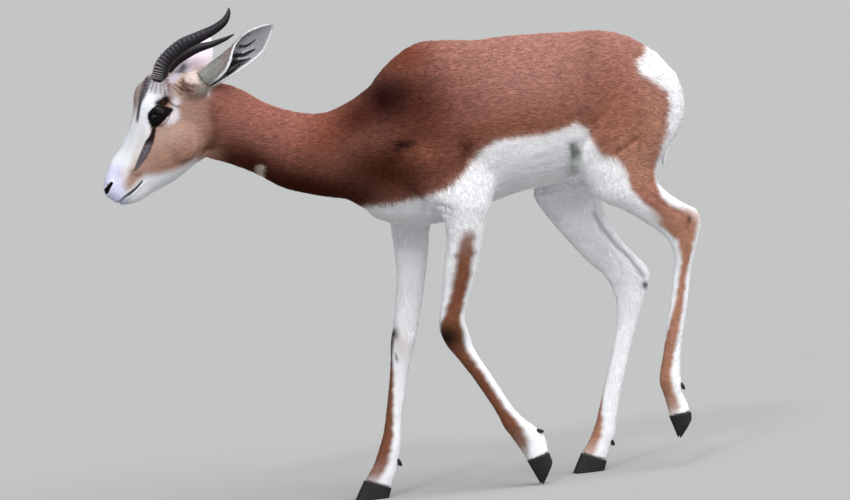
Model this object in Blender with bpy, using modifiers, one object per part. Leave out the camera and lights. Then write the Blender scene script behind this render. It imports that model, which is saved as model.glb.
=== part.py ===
"""A mhorr gazelle at life size, walking, as a still museum model made of closed solids.

The animal faces -X, its left side is at -Y and +Z is up. Its flesh is lofted through
sections, fused, and then parted with thin cuts into head, neck, torso and legs. Horns,
ears, eyes, hooves, dewclaws and tail are separate solids that meet it face to face.
Metres throughout.
"""
import math

import bmesh
import bpy
import numpy as np
from mathutils import Matrix, Vector

# Driving sizes
GAP = 0.0003                # between pieces that touch
VOXEL = 0.005               # grain of the fused flesh
FLESH_TRIANGLES = 8200
HEAD_ORIGIN = (-0.464, 0.0, 0.847)   # throat end of the skull, which the head turns about
HEAD_YAW = math.radians(-10)         # the muzzle turns to the animal's right
HEAD_ROLL = math.radians(-8)         # the crown leans to the animal's right
EYE = (-0.0735, 0.0405, 0.0135)      # centre of the left eyeball, before mirroring, in the head
EYE_RADIUS = 0.0205
EYE_TILT = math.radians(35)          # slope of the line through the corners of the lids
LID_LENGTH = 0.0255                  # half the length of the lids' opening
LID_RISE = 0.0205                    # upper lid over the line of the corners
LID_DROP = 0.0080                    # lower lid under it
CORNER_DROP = 0.0065                 # the corners' line below the eye's centre
HORN_RINGS = 13
HORN_RINGED = (0.02, 0.66)           # the stretch of a horn that carries rings
HORN_RIDGE = 0.10                    # height of a ring against the horn's radius
HORN_FLATTEN = 0.86                  # width of a horn against its depth
EAR_WALL = 0.0030
NOSTRIL = (-0.1990, 0.0175, -0.1225)             # centre of the left one, mirrored
NOSTRIL_SIZE = (0.0110, 0.0070, 0.0040)
NOSTRIL_SLOPE = math.radians(50)
NOSTRIL_FLARE = math.radians(-35)
LID_WALL = 0.0016                    # skin of the lids over the eyeball
LID_RIM = 0.0016                     # extra thickness a little way off the lids' edge
LID_SOFT = (0.003, 0.014)            # where the lids' form runs out into the face
SOCKET = 0.0040                      # how deep the flesh lies behind the eye's front
MOUTH_CUT = (0.0034, 0.0016)         # depth and half width of the line of the mouth
LIPS = (0.0012, 0.0045, 0.0026)      # rise of the lips, distance from the line, half width
TEAR_CUT = (0.0020, 0.0030)          # depth and half width of the groove under the eye
SOFTENING = 10                       # rounds of smoothing for all the flesh
TRUNK_SOFTENING = 50                 # more rounds for trunk, neck and thighs
HOOF_SPLIT = 0.0012                  # half of the cleft between two hooves
HOOF_SECTION = (0.62, 1.5, 2.6)      # widest place, pointed toe, square heel
KNIFE_REACH = 0.03                   # how far a cut reaches past a coronet
SMALLEST_NODE = 1e-5                 # cubic metres; anything smaller is a chip off a cut

SIDES = {"left": -1.0, "right": 1.0}

# Sections: two ends in the plane of travel (x, z, x, z), y, half width, place of the
# widest point between the ends, and squareness towards each end (2 is an ellipse).
TRUNK = [
    (-0.118, 0.820, -0.130, 0.665, 0, 0.050, 0.55, 2.0, 2.0),
    (-0.098, 0.858, -0.124, 0.628, 0, 0.064, 0.55, 1.9, 2.0),
    (-0.060, 0.905, -0.098, 0.598, 0, 0.078, 0.58, 1.8, 2.0),
    (-0.012, 0.943, -0.050, 0.579, 0, 0.088, 0.60, 1.7, 2.0),
    (0.035, 0.962, 0.010, 0.572, 0, 0.096, 0.60, 1.6, 2.0),
    (0.085, 0.961, 0.070, 0.579, 0, 0.104, 0.60, 1.7, 2.0),
    (0.150, 0.954, 0.145, 0.602, 0, 0.114, 0.58, 1.8, 2.1),
    (0.220, 0.955, 0.220, 0.620, 0, 0.120, 0.57, 1.9, 2.2),
    (0.290, 0.953, 0.295, 0.629, 0, 0.118, 0.56, 1.9, 2.2),
    (0.360, 0.949, 0.365, 0.645, 0, 0.107, 0.50, 1.9, 2.1),
    (0.425, 0.946, 0.430, 0.666, 0, 0.099, 0.45, 1.9, 2.0),
    (0.480, 0.930, 0.480, 0.682, 0, 0.092, 0.42, 2.0, 2.0),
    (0.528, 0.900, 0.522, 0.700, 0, 0.078, 0.42, 2.0, 2.0),
    (0.562, 0.860, 0.552, 0.728, 0, 0.056, 0.42, 2.0, 2.0),
    (0.578, 0.828, 0.570, 0.765, 0, 0.030, 0.45, 2.0, 2.0),
]
NECK = [
    (-0.450, 0.930, -0.480, 0.790, 0, 0.036, 0.50, 2.0, 2.0),
    (-0.398, 0.919, -0.453, 0.768, 0, 0.047, 0.50, 2.0, 2.0),
    (-0.357, 0.900, -0.402, 0.748, 0, 0.046, 0.48, 2.0, 2.0),
    (-0.307, 0.866, -0.346, 0.720, 0, 0.045, 0.48, 2.0, 2.0),
    (-0.243, 0.841, -0.290, 0.684, 0, 0.048, 0.50, 1.9, 2.0),
    (-0.189, 0.834, -0.216, 0.659, 0, 0.053, 0.52, 1.8, 2.0),
    (-0.140, 0.848, -0.158, 0.645, 0, 0.062, 0.55, 1.8, 2.0),
    (-0.095, 0.872, -0.118, 0.620, 0, 0.072, 0.58, 1.8, 2.0),
    (-0.030, 0.920, -0.060, 0.600, 0, 0.074, 0.60, 1.8, 2.0),
]
# The head's sections are in its own frame: face line first, jaw line second.
HEAD = [
    (-0.2062, -0.1220, -0.2040, -0.1370, 0, 0.0110, 0.50, 2.0, 2.0),
    (-0.2046, -0.1090, -0.1970, -0.1470, 0, 0.0190, 0.52, 2.2, 2.0),
    (-0.1985, -0.0940, -0.1850, -0.1540, 0, 0.0235, 0.55, 2.2, 2.0),
    (-0.1930, -0.0820, -0.1680, -0.1630, 0, 0.0250, 0.52, 2.2, 2.1),
    (-0.1850, -0.0670, -0.1400, -0.1610, 0, 0.0270, 0.52, 2.2, 2.1),
    (-0.1730, -0.0530, -0.1190, -0.1510, 0, 0.0300, 0.52, 2.1, 2.0),
    (-0.1610, -0.0400, -0.1000, -0.1415, 0, 0.0330, 0.50, 2.1, 2.0),
    (-0.1475, -0.0160, -0.0640, -0.1270, 0, 0.0400, 0.48, 2.1, 2.0),
    (-0.1365, 0.0080, -0.0330, -0.1090, 0, 0.0450, 0.42, 2.4, 2.0),
    (-0.1270, 0.0380, -0.0080, -0.0920, 0, 0.0470, 0.36, 2.9, 2.0),
    (-0.1230, 0.0660, 0.0150, -0.0810, 0, 0.0460, 0.36, 3.1, 2.0),
    (-0.1090, 0.0945, 0.0320, -0.0680, 0, 0.0420, 0.38, 3.0, 2.0),
    (-0.0790, 0.1080, 0.0450, -0.0440, 0, 0.0405, 0.40, 2.6, 2.0),
    (-0.0400, 0.1050, 0.0530, -0.0080, 0, 0.0400, 0.42, 2.2, 2.0),
    (0.0000, 0.0990, 0.0560, 0.0280, 0, 0.0370, 0.45, 2.0, 2.0),
    (0.0280, 0.0860, 0.0560, 0.0520, 0, 0.0240, 0.50, 2.0, 2.0),
]
# Legs: front edge first, rear edge second; y is given for the side in the list's name.
FORE_LEFT = [
    (0.030, 0.930, 0.084, 0.925, -0.034, 0.016, 0.5, 2, 2),
    (-0.002, 0.870, 0.118, 0.868, -0.052, 0.027, 0.5, 2, 2),
    (-0.040, 0.800, 0.146, 0.798, -0.062, 0.032, 0.5, 2, 2),
    (-0.056, 0.742, 0.160, 0.730, -0.069, 0.036, 0.5, 2, 2),
    (-0.048, 0.682, 0.158, 0.670, -0.077, 0.038, 0.5, 2, 2),
    (-0.018, 0.635, 0.143, 0.630, -0.085, 0.038, 0.5, 2, 2),
    (0.010, 0.610, 0.132, 0.602, -0.090, 0.036, 0.5, 2, 2),
    (0.026, 0.585, 0.121, 0.577, -0.092, 0.032, 0.5, 2, 2),
    (0.029, 0.540, 0.108, 0.532, -0.092, 0.028, 0.5, 2, 2),
    (0.018, 0.491, 0.093, 0.482, -0.091, 0.0255, 0.5, 2, 2),
    (0.010, 0.440, 0.076, 0.433, -0.089, 0.0215, 0.5, 2, 2),
    (0.000, 0.392, 0.057, 0.386, -0.087, 0.0190, 0.5, 2, 2),
    (-0.005, 0.365, 0.053, 0.362, -0.086, 0.0205, 0.5, 2.4, 2),
    (-0.001, 0.338, 0.058, 0.345, -0.085, 0.0210, 0.5, 2.4, 2),
    (0.010, 0.313, 0.062, 0.328, -0.084, 0.0190, 0.5, 2.2, 2),
    (0.033, 0.280, 0.069, 0.300, -0.083, 0.0155, 0.5, 2, 2),
    (0.070, 0.220, 0.103, 0.237, -0.081, 0.0140, 0.5, 2, 2),
    (0.101, 0.162, 0.136, 0.175, -0.080, 0.0145, 0.5, 2, 2),
    (0.112, 0.133, 0.160, 0.144, -0.080, 0.0185, 0.5, 2, 2),
    (0.121, 0.118, 0.178, 0.128, -0.080, 0.0180, 0.5, 2, 2),
    (0.132, 0.100, 0.196, 0.110, -0.080, 0.0170, 0.5, 2, 2),
    (0.143, 0.080, 0.204, 0.090, -0.080, 0.0165, 0.5, 2, 2),
    (0.154, 0.060, 0.205, 0.072, -0.080, 0.0175, 0.5, 2, 2),
    (0.161, 0.044, 0.205, 0.056, -0.080, 0.0165, 0.5, 2, 2),
]
FORE_RIGHT = [
    (0.024, 0.930, 0.080, 0.925, 0.034, 0.016, 0.5, 2, 2),
    (-0.010, 0.870, 0.110, 0.868, 0.052, 0.027, 0.5, 2, 2),
    (-0.050, 0.800, 0.136, 0.798, 0.062, 0.032, 0.5, 2, 2),
    (-0.070, 0.735, 0.140, 0.725, 0.069, 0.036, 0.5, 2, 2),
    (-0.068, 0.675, 0.124, 0.660, 0.077, 0.038, 0.5, 2, 2),
    (-0.058, 0.628, 0.080, 0.615, 0.085, 0.038, 0.5, 2, 2),
    (-0.052, 0.598, 0.050, 0.585, 0.091, 0.036, 0.5, 2, 2),
    (-0.050, 0.568, 0.035, 0.558, 0.093, 0.032, 0.5, 2, 2),
    (-0.048, 0.518, 0.026, 0.509, 0.091, 0.028, 0.5, 2, 2),
    (-0.050, 0.466, 0.014, 0.459, 0.087, 0.0245, 0.5, 2, 2),
    (-0.059, 0.416, 0.001, 0.409, 0.081, 0.0205, 0.5, 2, 2),
    (-0.069, 0.366, -0.014, 0.360, 0.075, 0.0200, 0.5, 2.4, 2),
    (-0.079, 0.333, -0.024, 0.328, 0.071, 0.0215, 0.5, 2.4, 2),
    (-0.083, 0.308, -0.035, 0.303, 0.069, 0.0195, 0.5, 2.2, 2),
    (-0.090, 0.265, -0.049, 0.260, 0.066, 0.0150, 0.5, 2, 2),
    (-0.101, 0.215, -0.063, 0.210, 0.061, 0.0140, 0.5, 2, 2),
    (-0.113, 0.165, -0.076, 0.160, 0.056, 0.0145, 0.5, 2, 2),
    (-0.120, 0.138, -0.080, 0.132, 0.054, 0.0180, 0.5, 2, 2),
    (-0.130, 0.113, -0.085, 0.106, 0.052, 0.0190, 0.5, 2, 2),
    (-0.141, 0.090, -0.091, 0.081, 0.051, 0.0175, 0.5, 2, 2),
    (-0.154, 0.066, -0.098, 0.056, 0.050, 0.0165, 0.5, 2, 2),
    (-0.172, 0.043, -0.112, 0.030, 0.050, 0.0180, 0.5, 2, 2),
    (-0.180, 0.031, -0.119, 0.010, 0.050, 0.0165, 0.5, 2, 2),
]
HIND_LEFT = [
    (0.430, 0.915, 0.535, 0.890, -0.034, 0.030, 0.5, 2, 2),
    (0.385, 0.865, 0.574, 0.835, -0.043, 0.050, 0.5, 2, 2),
    (0.358, 0.800, 0.586, 0.778, -0.049, 0.057, 0.5, 2, 2),
    (0.342, 0.745, 0.574, 0.732, -0.057, 0.057, 0.5, 2, 2),
    (0.334, 0.703, 0.546, 0.694, -0.067, 0.051, 0.5, 2, 2),
    (0.336, 0.656, 0.510, 0.652, -0.072, 0.048, 0.5, 2, 2),
    (0.348, 0.624, 0.501, 0.633, -0.078, 0.044, 0.5, 2, 2),
    (0.370, 0.588, 0.502, 0.613, -0.083, 0.039, 0.5, 2, 2),
    (0.424, 0.557, 0.518, 0.590, -0.087, 0.032, 0.5, 2, 2),
    (0.473, 0.521, 0.548, 0.565, -0.089, 0.0250, 0.5, 2, 2),
    (0.505, 0.492, 0.579, 0.544, -0.090, 0.0210, 0.5, 2, 2.4),
    (0.517, 0.466, 0.585, 0.516, -0.090, 0.0200, 0.5, 2, 2.4),
    (0.520, 0.440, 0.572, 0.468, -0.088, 0.0185, 0.5, 2, 2),
    (0.513, 0.410, 0.556, 0.416, -0.085, 0.0155, 0.5, 2, 2),
    (0.503, 0.358, 0.543, 0.354, -0.083, 0.0140, 0.5, 2, 2),
    (0.490, 0.308, 0.530, 0.303, -0.081, 0.0140, 0.5, 2, 2),
    (0.478, 0.252, 0.517, 0.247, -0.079, 0.0145, 0.5, 2, 2),
    (0.466, 0.208, 0.511, 0.203, -0.078, 0.0175, 0.5, 2, 2),
    (0.463, 0.183, 0.512, 0.178, -0.077, 0.0185, 0.5, 2, 2),
    (0.469, 0.158, 0.513, 0.155, -0.076, 0.0165, 0.5, 2, 2),
    (0.474, 0.134, 0.521, 0.134, -0.075, 0.0165, 0.5, 2, 2),
    (0.478, 0.110, 0.524, 0.117, -0.075, 0.0175, 0.5, 2, 2),
    (0.480, 0.100, 0.523, 0.107, -0.075, 0.0165, 0.5, 2, 2),
]
HIND_RIGHT = [
    (0.430, 0.915, 0.535, 0.890, 0.034, 0.030, 0.5, 2, 2),
    (0.385, 0.865, 0.574, 0.835, 0.043, 0.050, 0.5, 2, 2),
    (0.352, 0.800, 0.586, 0.778, 0.049, 0.057, 0.5, 2, 2),
    (0.328, 0.745, 0.572, 0.728, 0.057, 0.057, 0.5, 2, 2),
    (0.304, 0.695, 0.532, 0.682, 0.068, 0.051, 0.5, 2, 2),
    (0.274, 0.645, 0.466, 0.635, 0.075, 0.048, 0.5, 2, 2),
    (0.269, 0.600, 0.420, 0.596, 0.082, 0.044, 0.5, 2, 2),
    (0.299, 0.548, 0.419, 0.562, 0.088, 0.039, 0.5, 2, 2),
    (0.334, 0.500, 0.431, 0.530, 0.091, 0.032, 0.5, 2, 2),
    (0.370, 0.452, 0.453, 0.487, 0.090, 0.0255, 0.5, 2, 2),
    (0.400, 0.422, 0.484, 0.450, 0.088, 0.0215, 0.5, 2, 2),
    (0.416, 0.396, 0.505, 0.420, 0.086, 0.0205, 0.5, 2, 2.4),
    (0.424, 0.370, 0.503, 0.390, 0.084, 0.0200, 0.5, 2, 2.4),
    (0.425, 0.345, 0.488, 0.354, 0.081, 0.0180, 0.5, 2, 2),
    (0.420, 0.309, 0.467, 0.306, 0.078, 0.0150, 0.5, 2, 2),
    (0.404, 0.259, 0.446, 0.254, 0.075, 0.0140, 0.5, 2, 2),
    (0.387, 0.209, 0.428, 0.204, 0.071, 0.0140, 0.5, 2, 2),
    (0.369, 0.159, 0.410, 0.154, 0.069, 0.0145, 0.5, 2, 2),
    (0.353, 0.113, 0.397, 0.106, 0.067, 0.0175, 0.5, 2, 2),
    (0.341, 0.087, 0.391, 0.079, 0.066, 0.0185, 0.5, 2, 2),
    (0.328, 0.065, 0.380, 0.054, 0.065, 0.0165, 0.5, 2, 2),
    (0.311, 0.043, 0.368, 0.030, 0.065, 0.0180, 0.5, 2, 2),
    (0.303, 0.031, 0.361, 0.010, 0.065, 0.0165, 0.5, 2, 2),
]
TAIL = [
    (0.545, 0.850, 0.555, 0.790, 0.000, 0.015, 0.5, 2, 2),
    (0.586, 0.842, 0.568, 0.802, 0.000, 0.015, 0.5, 2, 2),
    (0.593, 0.800, 0.574, 0.790, 0.000, 0.013, 0.5, 2, 2),
    (0.588, 0.760, 0.570, 0.755, 0.001, 0.012, 0.5, 2, 2),
    (0.576, 0.722, 0.560, 0.717, 0.002, 0.011, 0.5, 2, 2),
    (0.562, 0.690, 0.547, 0.685, 0.003, 0.011, 0.5, 2, 2),
    (0.550, 0.662, 0.537, 0.658, 0.003, 0.009, 0.5, 2, 2),
    (0.542, 0.640, 0.537, 0.638, 0.003, 0.003, 0.5, 2, 2),
]
# Soft masses fused into the flesh: centre and half sizes, in the head's frame.
HEAD_MASSES = [
    ((EYE[0], EYE[1] - 0.0035, EYE[2]), (0.0255, 0.0245, 0.0255)),
    ((-0.034, 0.030, -0.045), (0.040, 0.0165, 0.044)),
]
EAR_BASES = {
    "left": ((0.010, -0.035, 0.070), (0.033, 0.029, 0.030)),
    "right": ((-0.013, 0.035, 0.067), (0.032, 0.026, 0.027)),
}
TOE_FLAT = 0.0016           # how far the trailing toe is worn flat on the floor
# Hooves: coronet front and rear, toe and heel of the sole, and the foot's y.
HOOVES = {
    "fore_left": ((0.157, 0.054), (0.204, 0.067), (0.183, -TOE_FLAT), (0.209, 0.046), -0.080),
    "fore_right": ((-0.172, 0.043), (-0.117, 0.020), (-0.197, 0.0), (-0.125, 0.0), 0.050),
    "hind_left": ((0.478, 0.111), (0.524, 0.117), (0.494, 0.061), (0.523, 0.101), -0.075),
    "hind_right": ((0.311, 0.043), (0.363, 0.020), (0.288, 0.0), (0.355, 0.0), 0.065),
}
HOOF_CORONET = 0.0082       # half width of one hoof at the coronet
HOOF_SOLE = 0.0094
# Dewclaws: the root on the leg, the way it points, and the foot's y.
DEWCLAWS = {
    "fore_left": ((0.185, 0.115), (0.97, -0.25), -0.080),
    "fore_right": ((-0.096, 0.075), (0.45, -0.89), 0.051),
    "hind_left": ((0.508, 0.176), (0.50, -0.87), -0.076),
    "hind_right": ((0.377, 0.062), (0.45, -0.89), 0.066),
}
DEWCLAW_SPREAD = 0.0085
DEWCLAW_SIZE = (0.0050, 0.0135)
DEWCLAW_SPLAY = 0.12
DEWCLAW_PROFILE = ((-0.35, 0.95), (0.2, 1.0), (0.6, 0.85), (0.88, 0.5), (1.0, 0.15))
# Cuts: two points of each cut in the plane of travel, and the span in y.
CUTS = [
    ((-0.100, 0.905), (-0.116, 0.560), (-0.16, 0.16)),
    ((-0.412, 0.970), (-0.458, 0.730), (-0.16, 0.16)),
    ((-0.080, 0.562), (0.150, 0.562), (-0.15, 0.15)),
    ((0.262, 0.614), (0.580, 0.652), (-0.15, 0.15)),
    ((-0.020, 0.349), (0.080, 0.353), (-0.12, -0.05)),
    ((-0.095, 0.344), (-0.005, 0.335), (0.035, 0.11)),
    ((0.495, 0.470), (0.600, 0.540), (-0.13, -0.05)),
    ((0.405, 0.381), (0.520, 0.408), (0.045, 0.13)),
]
# The middle of each piece of flesh.
FLESH = {
    "head": (-0.56, 0.0, 0.84),
    "neck": (-0.26, 0.0, 0.77),
    "torso": (0.22, 0.0, 0.79),
    "fore_upper_left": (0.045, -0.09, 0.45),
    "fore_upper_right": (-0.025, 0.085, 0.45),
    "fore_lower_left": (0.098, -0.082, 0.20),
    "fore_lower_right": (-0.09, 0.06, 0.19),
    "hind_upper_left": (0.45, -0.085, 0.58),
    "hind_upper_right": (0.39, 0.088, 0.51),
    "hind_lower_left": (0.51, -0.08, 0.30),
    "hind_lower_right": (0.42, 0.075, 0.22),
}
BROWN = (0.33, 0.13, 0.06)
WHITE = (0.78, 0.74, 0.70)
COLOURS = {"head": (0.55, 0.42, 0.34), "neck": BROWN, "torso": BROWN}
# Horns in the head's frame: x, y, z and radius from root to tip.
HORNS = {
    "left": [
        (-0.0680, -0.0220, 0.0860, 0.0165),
        (-0.0620, -0.0245, 0.1030, 0.0168),
        (-0.0550, -0.0280, 0.1200, 0.0160),
        (-0.0360, -0.0340, 0.1385, 0.0154),
        (-0.0085, -0.0400, 0.1560, 0.0148),
        (0.0225, -0.0450, 0.1675, 0.0125),
        (0.0580, -0.0480, 0.1805, 0.0104),
        (0.0820, -0.0480, 0.1955, 0.0082),
        (0.0930, -0.0460, 0.2125, 0.0050),
        (0.0950, -0.0440, 0.2240, 0.0016),
    ],
    "right": [
        (-0.0680, 0.0220, 0.0860, 0.0165),
        (-0.0620, 0.0245, 0.1010, 0.0168),
        (-0.0520, 0.0280, 0.1170, 0.0160),
        (-0.0320, 0.0340, 0.1350, 0.0150),
        (-0.0060, 0.0400, 0.1480, 0.0128),
        (0.0210, 0.0450, 0.1570, 0.0098),
        (0.0520, 0.0490, 0.1630, 0.0070),
        (0.0800, 0.0500, 0.1710, 0.0046),
        (0.0930, 0.0500, 0.1760, 0.0028),
        (0.1010, 0.0500, 0.1795, 0.0012),
    ],
}
# Ears in the head's frame: root, tip, the way the cup opens, how far the middle bows
# down, and rows of place along the ear, half width, depth of the cup, and where its
# front and rear rims end (degrees round from the middle of the ear's back).
EARS = {
    "left": ((0.0140, -0.0400, 0.0720), (0.1805, -0.0780, 0.1735), (0.12, -0.95, -0.25), 0.0085, [
        (-0.14, 0.0150, 0.0140, 120, 222),
        (0.05, 0.0205, 0.0170, 118, 220),
        (0.18, 0.0225, 0.0185, 118, 214),
        (0.32, 0.0238, 0.0185, 112, 198),
        (0.44, 0.0250, 0.0185, 102, 166),
        (0.56, 0.0265, 0.0175, 94, 116),
        (0.66, 0.0278, 0.0160, 90, 94),
        (0.76, 0.0262, 0.0130, 88, 88),
        (0.86, 0.0190, 0.0090, 84, 84),
        (0.94, 0.0115, 0.0050, 80, 80),
        (1.00, 0.0036, 0.0020, 72, 72),
    ]),
    "right": ((-0.0190, 0.0380, 0.0700), (0.0440, 0.1650, 0.2040), (-0.083, 0.67, -0.728), 0.0, [
        (-0.14, 0.0200, 0.0170, 150, 205),
        (0.05, 0.0270, 0.0190, 145, 205),
        (0.18, 0.0320, 0.0185, 125, 180),
        (0.32, 0.0345, 0.0175, 105, 140),
        (0.46, 0.0345, 0.0160, 96, 104),
        (0.62, 0.0315, 0.0140, 90, 92),
        (0.76, 0.0250, 0.0105, 86, 86),
        (0.88, 0.0165, 0.0070, 82, 82),
        (0.96, 0.0080, 0.0035, 78, 78),
        (1.00, 0.0026, 0.0014, 72, 72),
    ]),
}


def clear_scene():
    for item in list(bpy.data.objects):
        bpy.data.objects.remove(item, do_unlink=True)


def collection(name):
    group = bpy.data.collections.new(name)
    bpy.context.scene.collection.children.link(group)
    return group


def finish(name, colour, roughness):
    """A plain surface for one kind of part."""
    material = bpy.data.materials.new(name)
    material.use_nodes = True
    shader = material.node_tree.nodes["Principled BSDF"]
    shader.inputs["Base Color"].default_value = (*colour, 1.0)
    shader.inputs["Roughness"].default_value = roughness
    shader.inputs["Metallic"].default_value = 0.0
    return material


def mesh_object(name, points, faces, group):
    mesh = bpy.data.meshes.new(name)
    mesh.from_pydata([tuple(p) for p in points], [], faces)
    solid = bmesh.new()
    solid.from_mesh(mesh)
    bmesh.ops.recalc_face_normals(solid, faces=solid.faces)
    solid.to_mesh(mesh)
    solid.free()
    item = bpy.data.objects.new(name, mesh)
    group.objects.link(item)
    return item


def between(rows, steps):
    """Catmull-Rom values between rows set by hand."""
    rows = np.array(rows, float)
    last = len(rows) - 1
    filled = []
    for i in range(last):
        before, here = rows[max(i - 1, 0)], rows[i]
        there, after = rows[i + 1], rows[min(i + 2, last)]
        for k in range(steps):
            t = k / steps
            pull = 2 * before - 5 * here + 4 * there - after
            bend = 3 * here - before - 3 * there + after
            filled.append(0.5 * (2 * here + (there - before) * t + pull * t * t + bend * t ** 3))
    filled.append(rows[last])
    return filled


def section(row, sides):
    """One closed ring: its ends in the plane of travel, its width across."""
    ax, az, bx, bz, y, width, widest, square_a, square_b = row
    turn = np.arange(sides) * 2 * math.pi / sides
    across, along = np.cos(turn), np.sin(turn)
    power = 2 / np.where(along >= 0, square_a, square_b)
    side = np.sign(across) * np.abs(across) ** power * width + y
    way = np.sign(along) * np.abs(along) ** power * np.where(along >= 0, widest, 1 - widest)
    x = ax + (bx - ax) * (widest - way)
    z = az + (bz - az) * (widest - way)
    return np.stack([x, side, z], axis=1)


def loft(name, rows, group, sides=32, steps=4):
    rings = [section(row, sides) for row in between(rows, steps)]
    points = np.concatenate(rings)
    faces = []
    for r in range(len(rings) - 1):
        for s in range(sides):
            a, b = r * sides + s, r * sides + (s + 1) % sides
            faces.append((a, b, b + sides, a + sides))
    faces.append(tuple(range(sides)))
    faces.append(tuple(range((len(rings) - 1) * sides, len(rings) * sides)))
    return mesh_object(name, points, faces, group)


def ball(name, centre, radii, group, matrix=Matrix.Identity(4), detail=(24, 16)):
    shape = bmesh.new()
    bmesh.ops.create_uvsphere(shape, u_segments=detail[0], v_segments=detail[1], radius=1.0)
    place = matrix @ Matrix.Translation(centre) @ Matrix.Diagonal((*radii, 1.0))
    bmesh.ops.transform(shape, matrix=place, verts=shape.verts)
    mesh = bpy.data.meshes.new(name)
    shape.to_mesh(mesh)
    shape.free()
    item = bpy.data.objects.new(name, mesh)
    group.objects.link(item)
    return item


def head_matrix():
    turn = Matrix.Rotation(HEAD_YAW, 4, "Z") @ Matrix.Rotation(HEAD_ROLL, 4, "X")
    return Matrix.Translation(HEAD_ORIGIN) @ turn


def bake(item):
    """Replace an object's mesh with what its modifiers make of it."""
    depsgraph = bpy.context.evaluated_depsgraph_get()
    mesh = bpy.data.meshes.new_from_object(item.evaluated_get(depsgraph))
    item.modifiers.clear()
    item.data = mesh
    return item


def join(items, name):
    """One object of several meshes, still loose from each other."""
    shape = bmesh.new()
    for item in items:
        copy = item.data.copy()
        copy.transform(item.matrix_world)
        shape.from_mesh(copy)
        bpy.data.meshes.remove(copy)
    mesh = bpy.data.meshes.new(name)
    shape.to_mesh(mesh)
    shape.free()
    joined = bpy.data.objects.new(name, mesh)
    items[0].users_collection[0].objects.link(joined)
    for item in items:
        bpy.data.objects.remove(item, do_unlink=True)
    return joined


def fuse(item, grain):
    fused = item.modifiers.new("Fuse", "REMESH")
    fused.mode = "VOXEL"
    fused.voxel_size = grain
    return bake(item)


def coordinates(mesh):
    values = np.empty(len(mesh.vertices) * 3)
    mesh.vertices.foreach_get("co", values)
    return values.reshape(-1, 3)


def move_points(mesh, points):
    mesh.vertices.foreach_set("co", np.asarray(points, float).ravel())
    mesh.update()


def relax(mesh, rounds, weight=None):
    """Taubin smoothing, which rounds creases without thinning the limbs."""
    ends = np.empty(len(mesh.edges) * 2, dtype=np.int64)
    mesh.edges.foreach_get("vertices", ends)
    ends = ends.reshape(-1, 2)
    points = coordinates(mesh)
    count = len(points)
    degree = np.bincount(ends.ravel(), minlength=count)[:, None]
    share = np.ones((count, 1)) if weight is None else weight[:, None]
    for _ in range(rounds):
        for step in (0.55, -0.57):
            total = np.empty_like(points)
            for axis in range(3):
                column = points[:, axis]
                ahead = np.bincount(ends[:, 0], column[ends[:, 1]], count)
                back = np.bincount(ends[:, 1], column[ends[:, 0]], count)
                total[:, axis] = ahead + back
            points = points + step * share * (total / degree - points)
    move_points(mesh, points)


def refine(item, chosen):
    """Halve the faces whose corners are all chosen."""
    shape = bmesh.new()
    shape.from_mesh(item.data)
    shape.verts.ensure_lookup_table()
    picked = [edge for edge in shape.edges if all(chosen[v.index] for v in edge.verts)]
    bmesh.ops.subdivide_edges(shape, edges=picked, cuts=1, use_grid_fill=True)
    bmesh.ops.triangulate(shape, faces=shape.faces)
    shape.to_mesh(item.data)
    shape.free()


def smooth_step(low, high, value):
    t = np.clip((value - low) / (high - low), 0, 1)
    return t * t * (3 - 2 * t)


def lid_edge(x, z):
    """How far outside the opening of the lids a place of the head's side view is."""
    dx, dz = x - EYE[0], z - EYE[2]
    along = dx * math.cos(EYE_TILT) + dz * math.sin(EYE_TILT)
    over = dz * math.cos(EYE_TILT) - dx * math.sin(EYE_TILT) + CORNER_DROP
    bow = np.clip(1 - (along / LID_LENGTH) ** 2, 0, 1)
    above = over - LID_RISE * bow ** 0.8
    below = -LID_DROP * bow - over
    beyond = np.abs(along) - LID_LENGTH
    return np.maximum(np.maximum(above, below), beyond)


def to_path(x, z, path):
    """Distance to a line of points in the side view, and how far along it."""
    best = np.full(x.shape, 1e9)
    place = np.zeros(x.shape)
    for i in range(len(path) - 1):
        ax, az = path[i]
        bx, bz = path[i + 1]
        length = (bx - ax) ** 2 + (bz - az) ** 2
        t = np.clip(((x - ax) * (bx - ax) + (z - az) * (bz - az)) / length, 0, 1)
        gap = np.hypot(x - ax - t * (bx - ax), z - az - t * (bz - az))
        nearer = gap < best
        best = np.where(nearer, gap, best)
        place = np.where(nearer, i + t, place)
    return best, place / (len(path) - 1)


MOUTH = [(-0.1215, -0.1145), (-0.1290, -0.1215), (-0.1395, -0.1295), (-0.1520, -0.1360),
         (-0.1645, -0.1440), (-0.1750, -0.1520), (-0.1840, -0.1610)]
TEAR = [(-0.0935, -0.0060), (-0.0980, -0.0240), (-0.1060, -0.0410), (-0.1190, -0.0640)]


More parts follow.
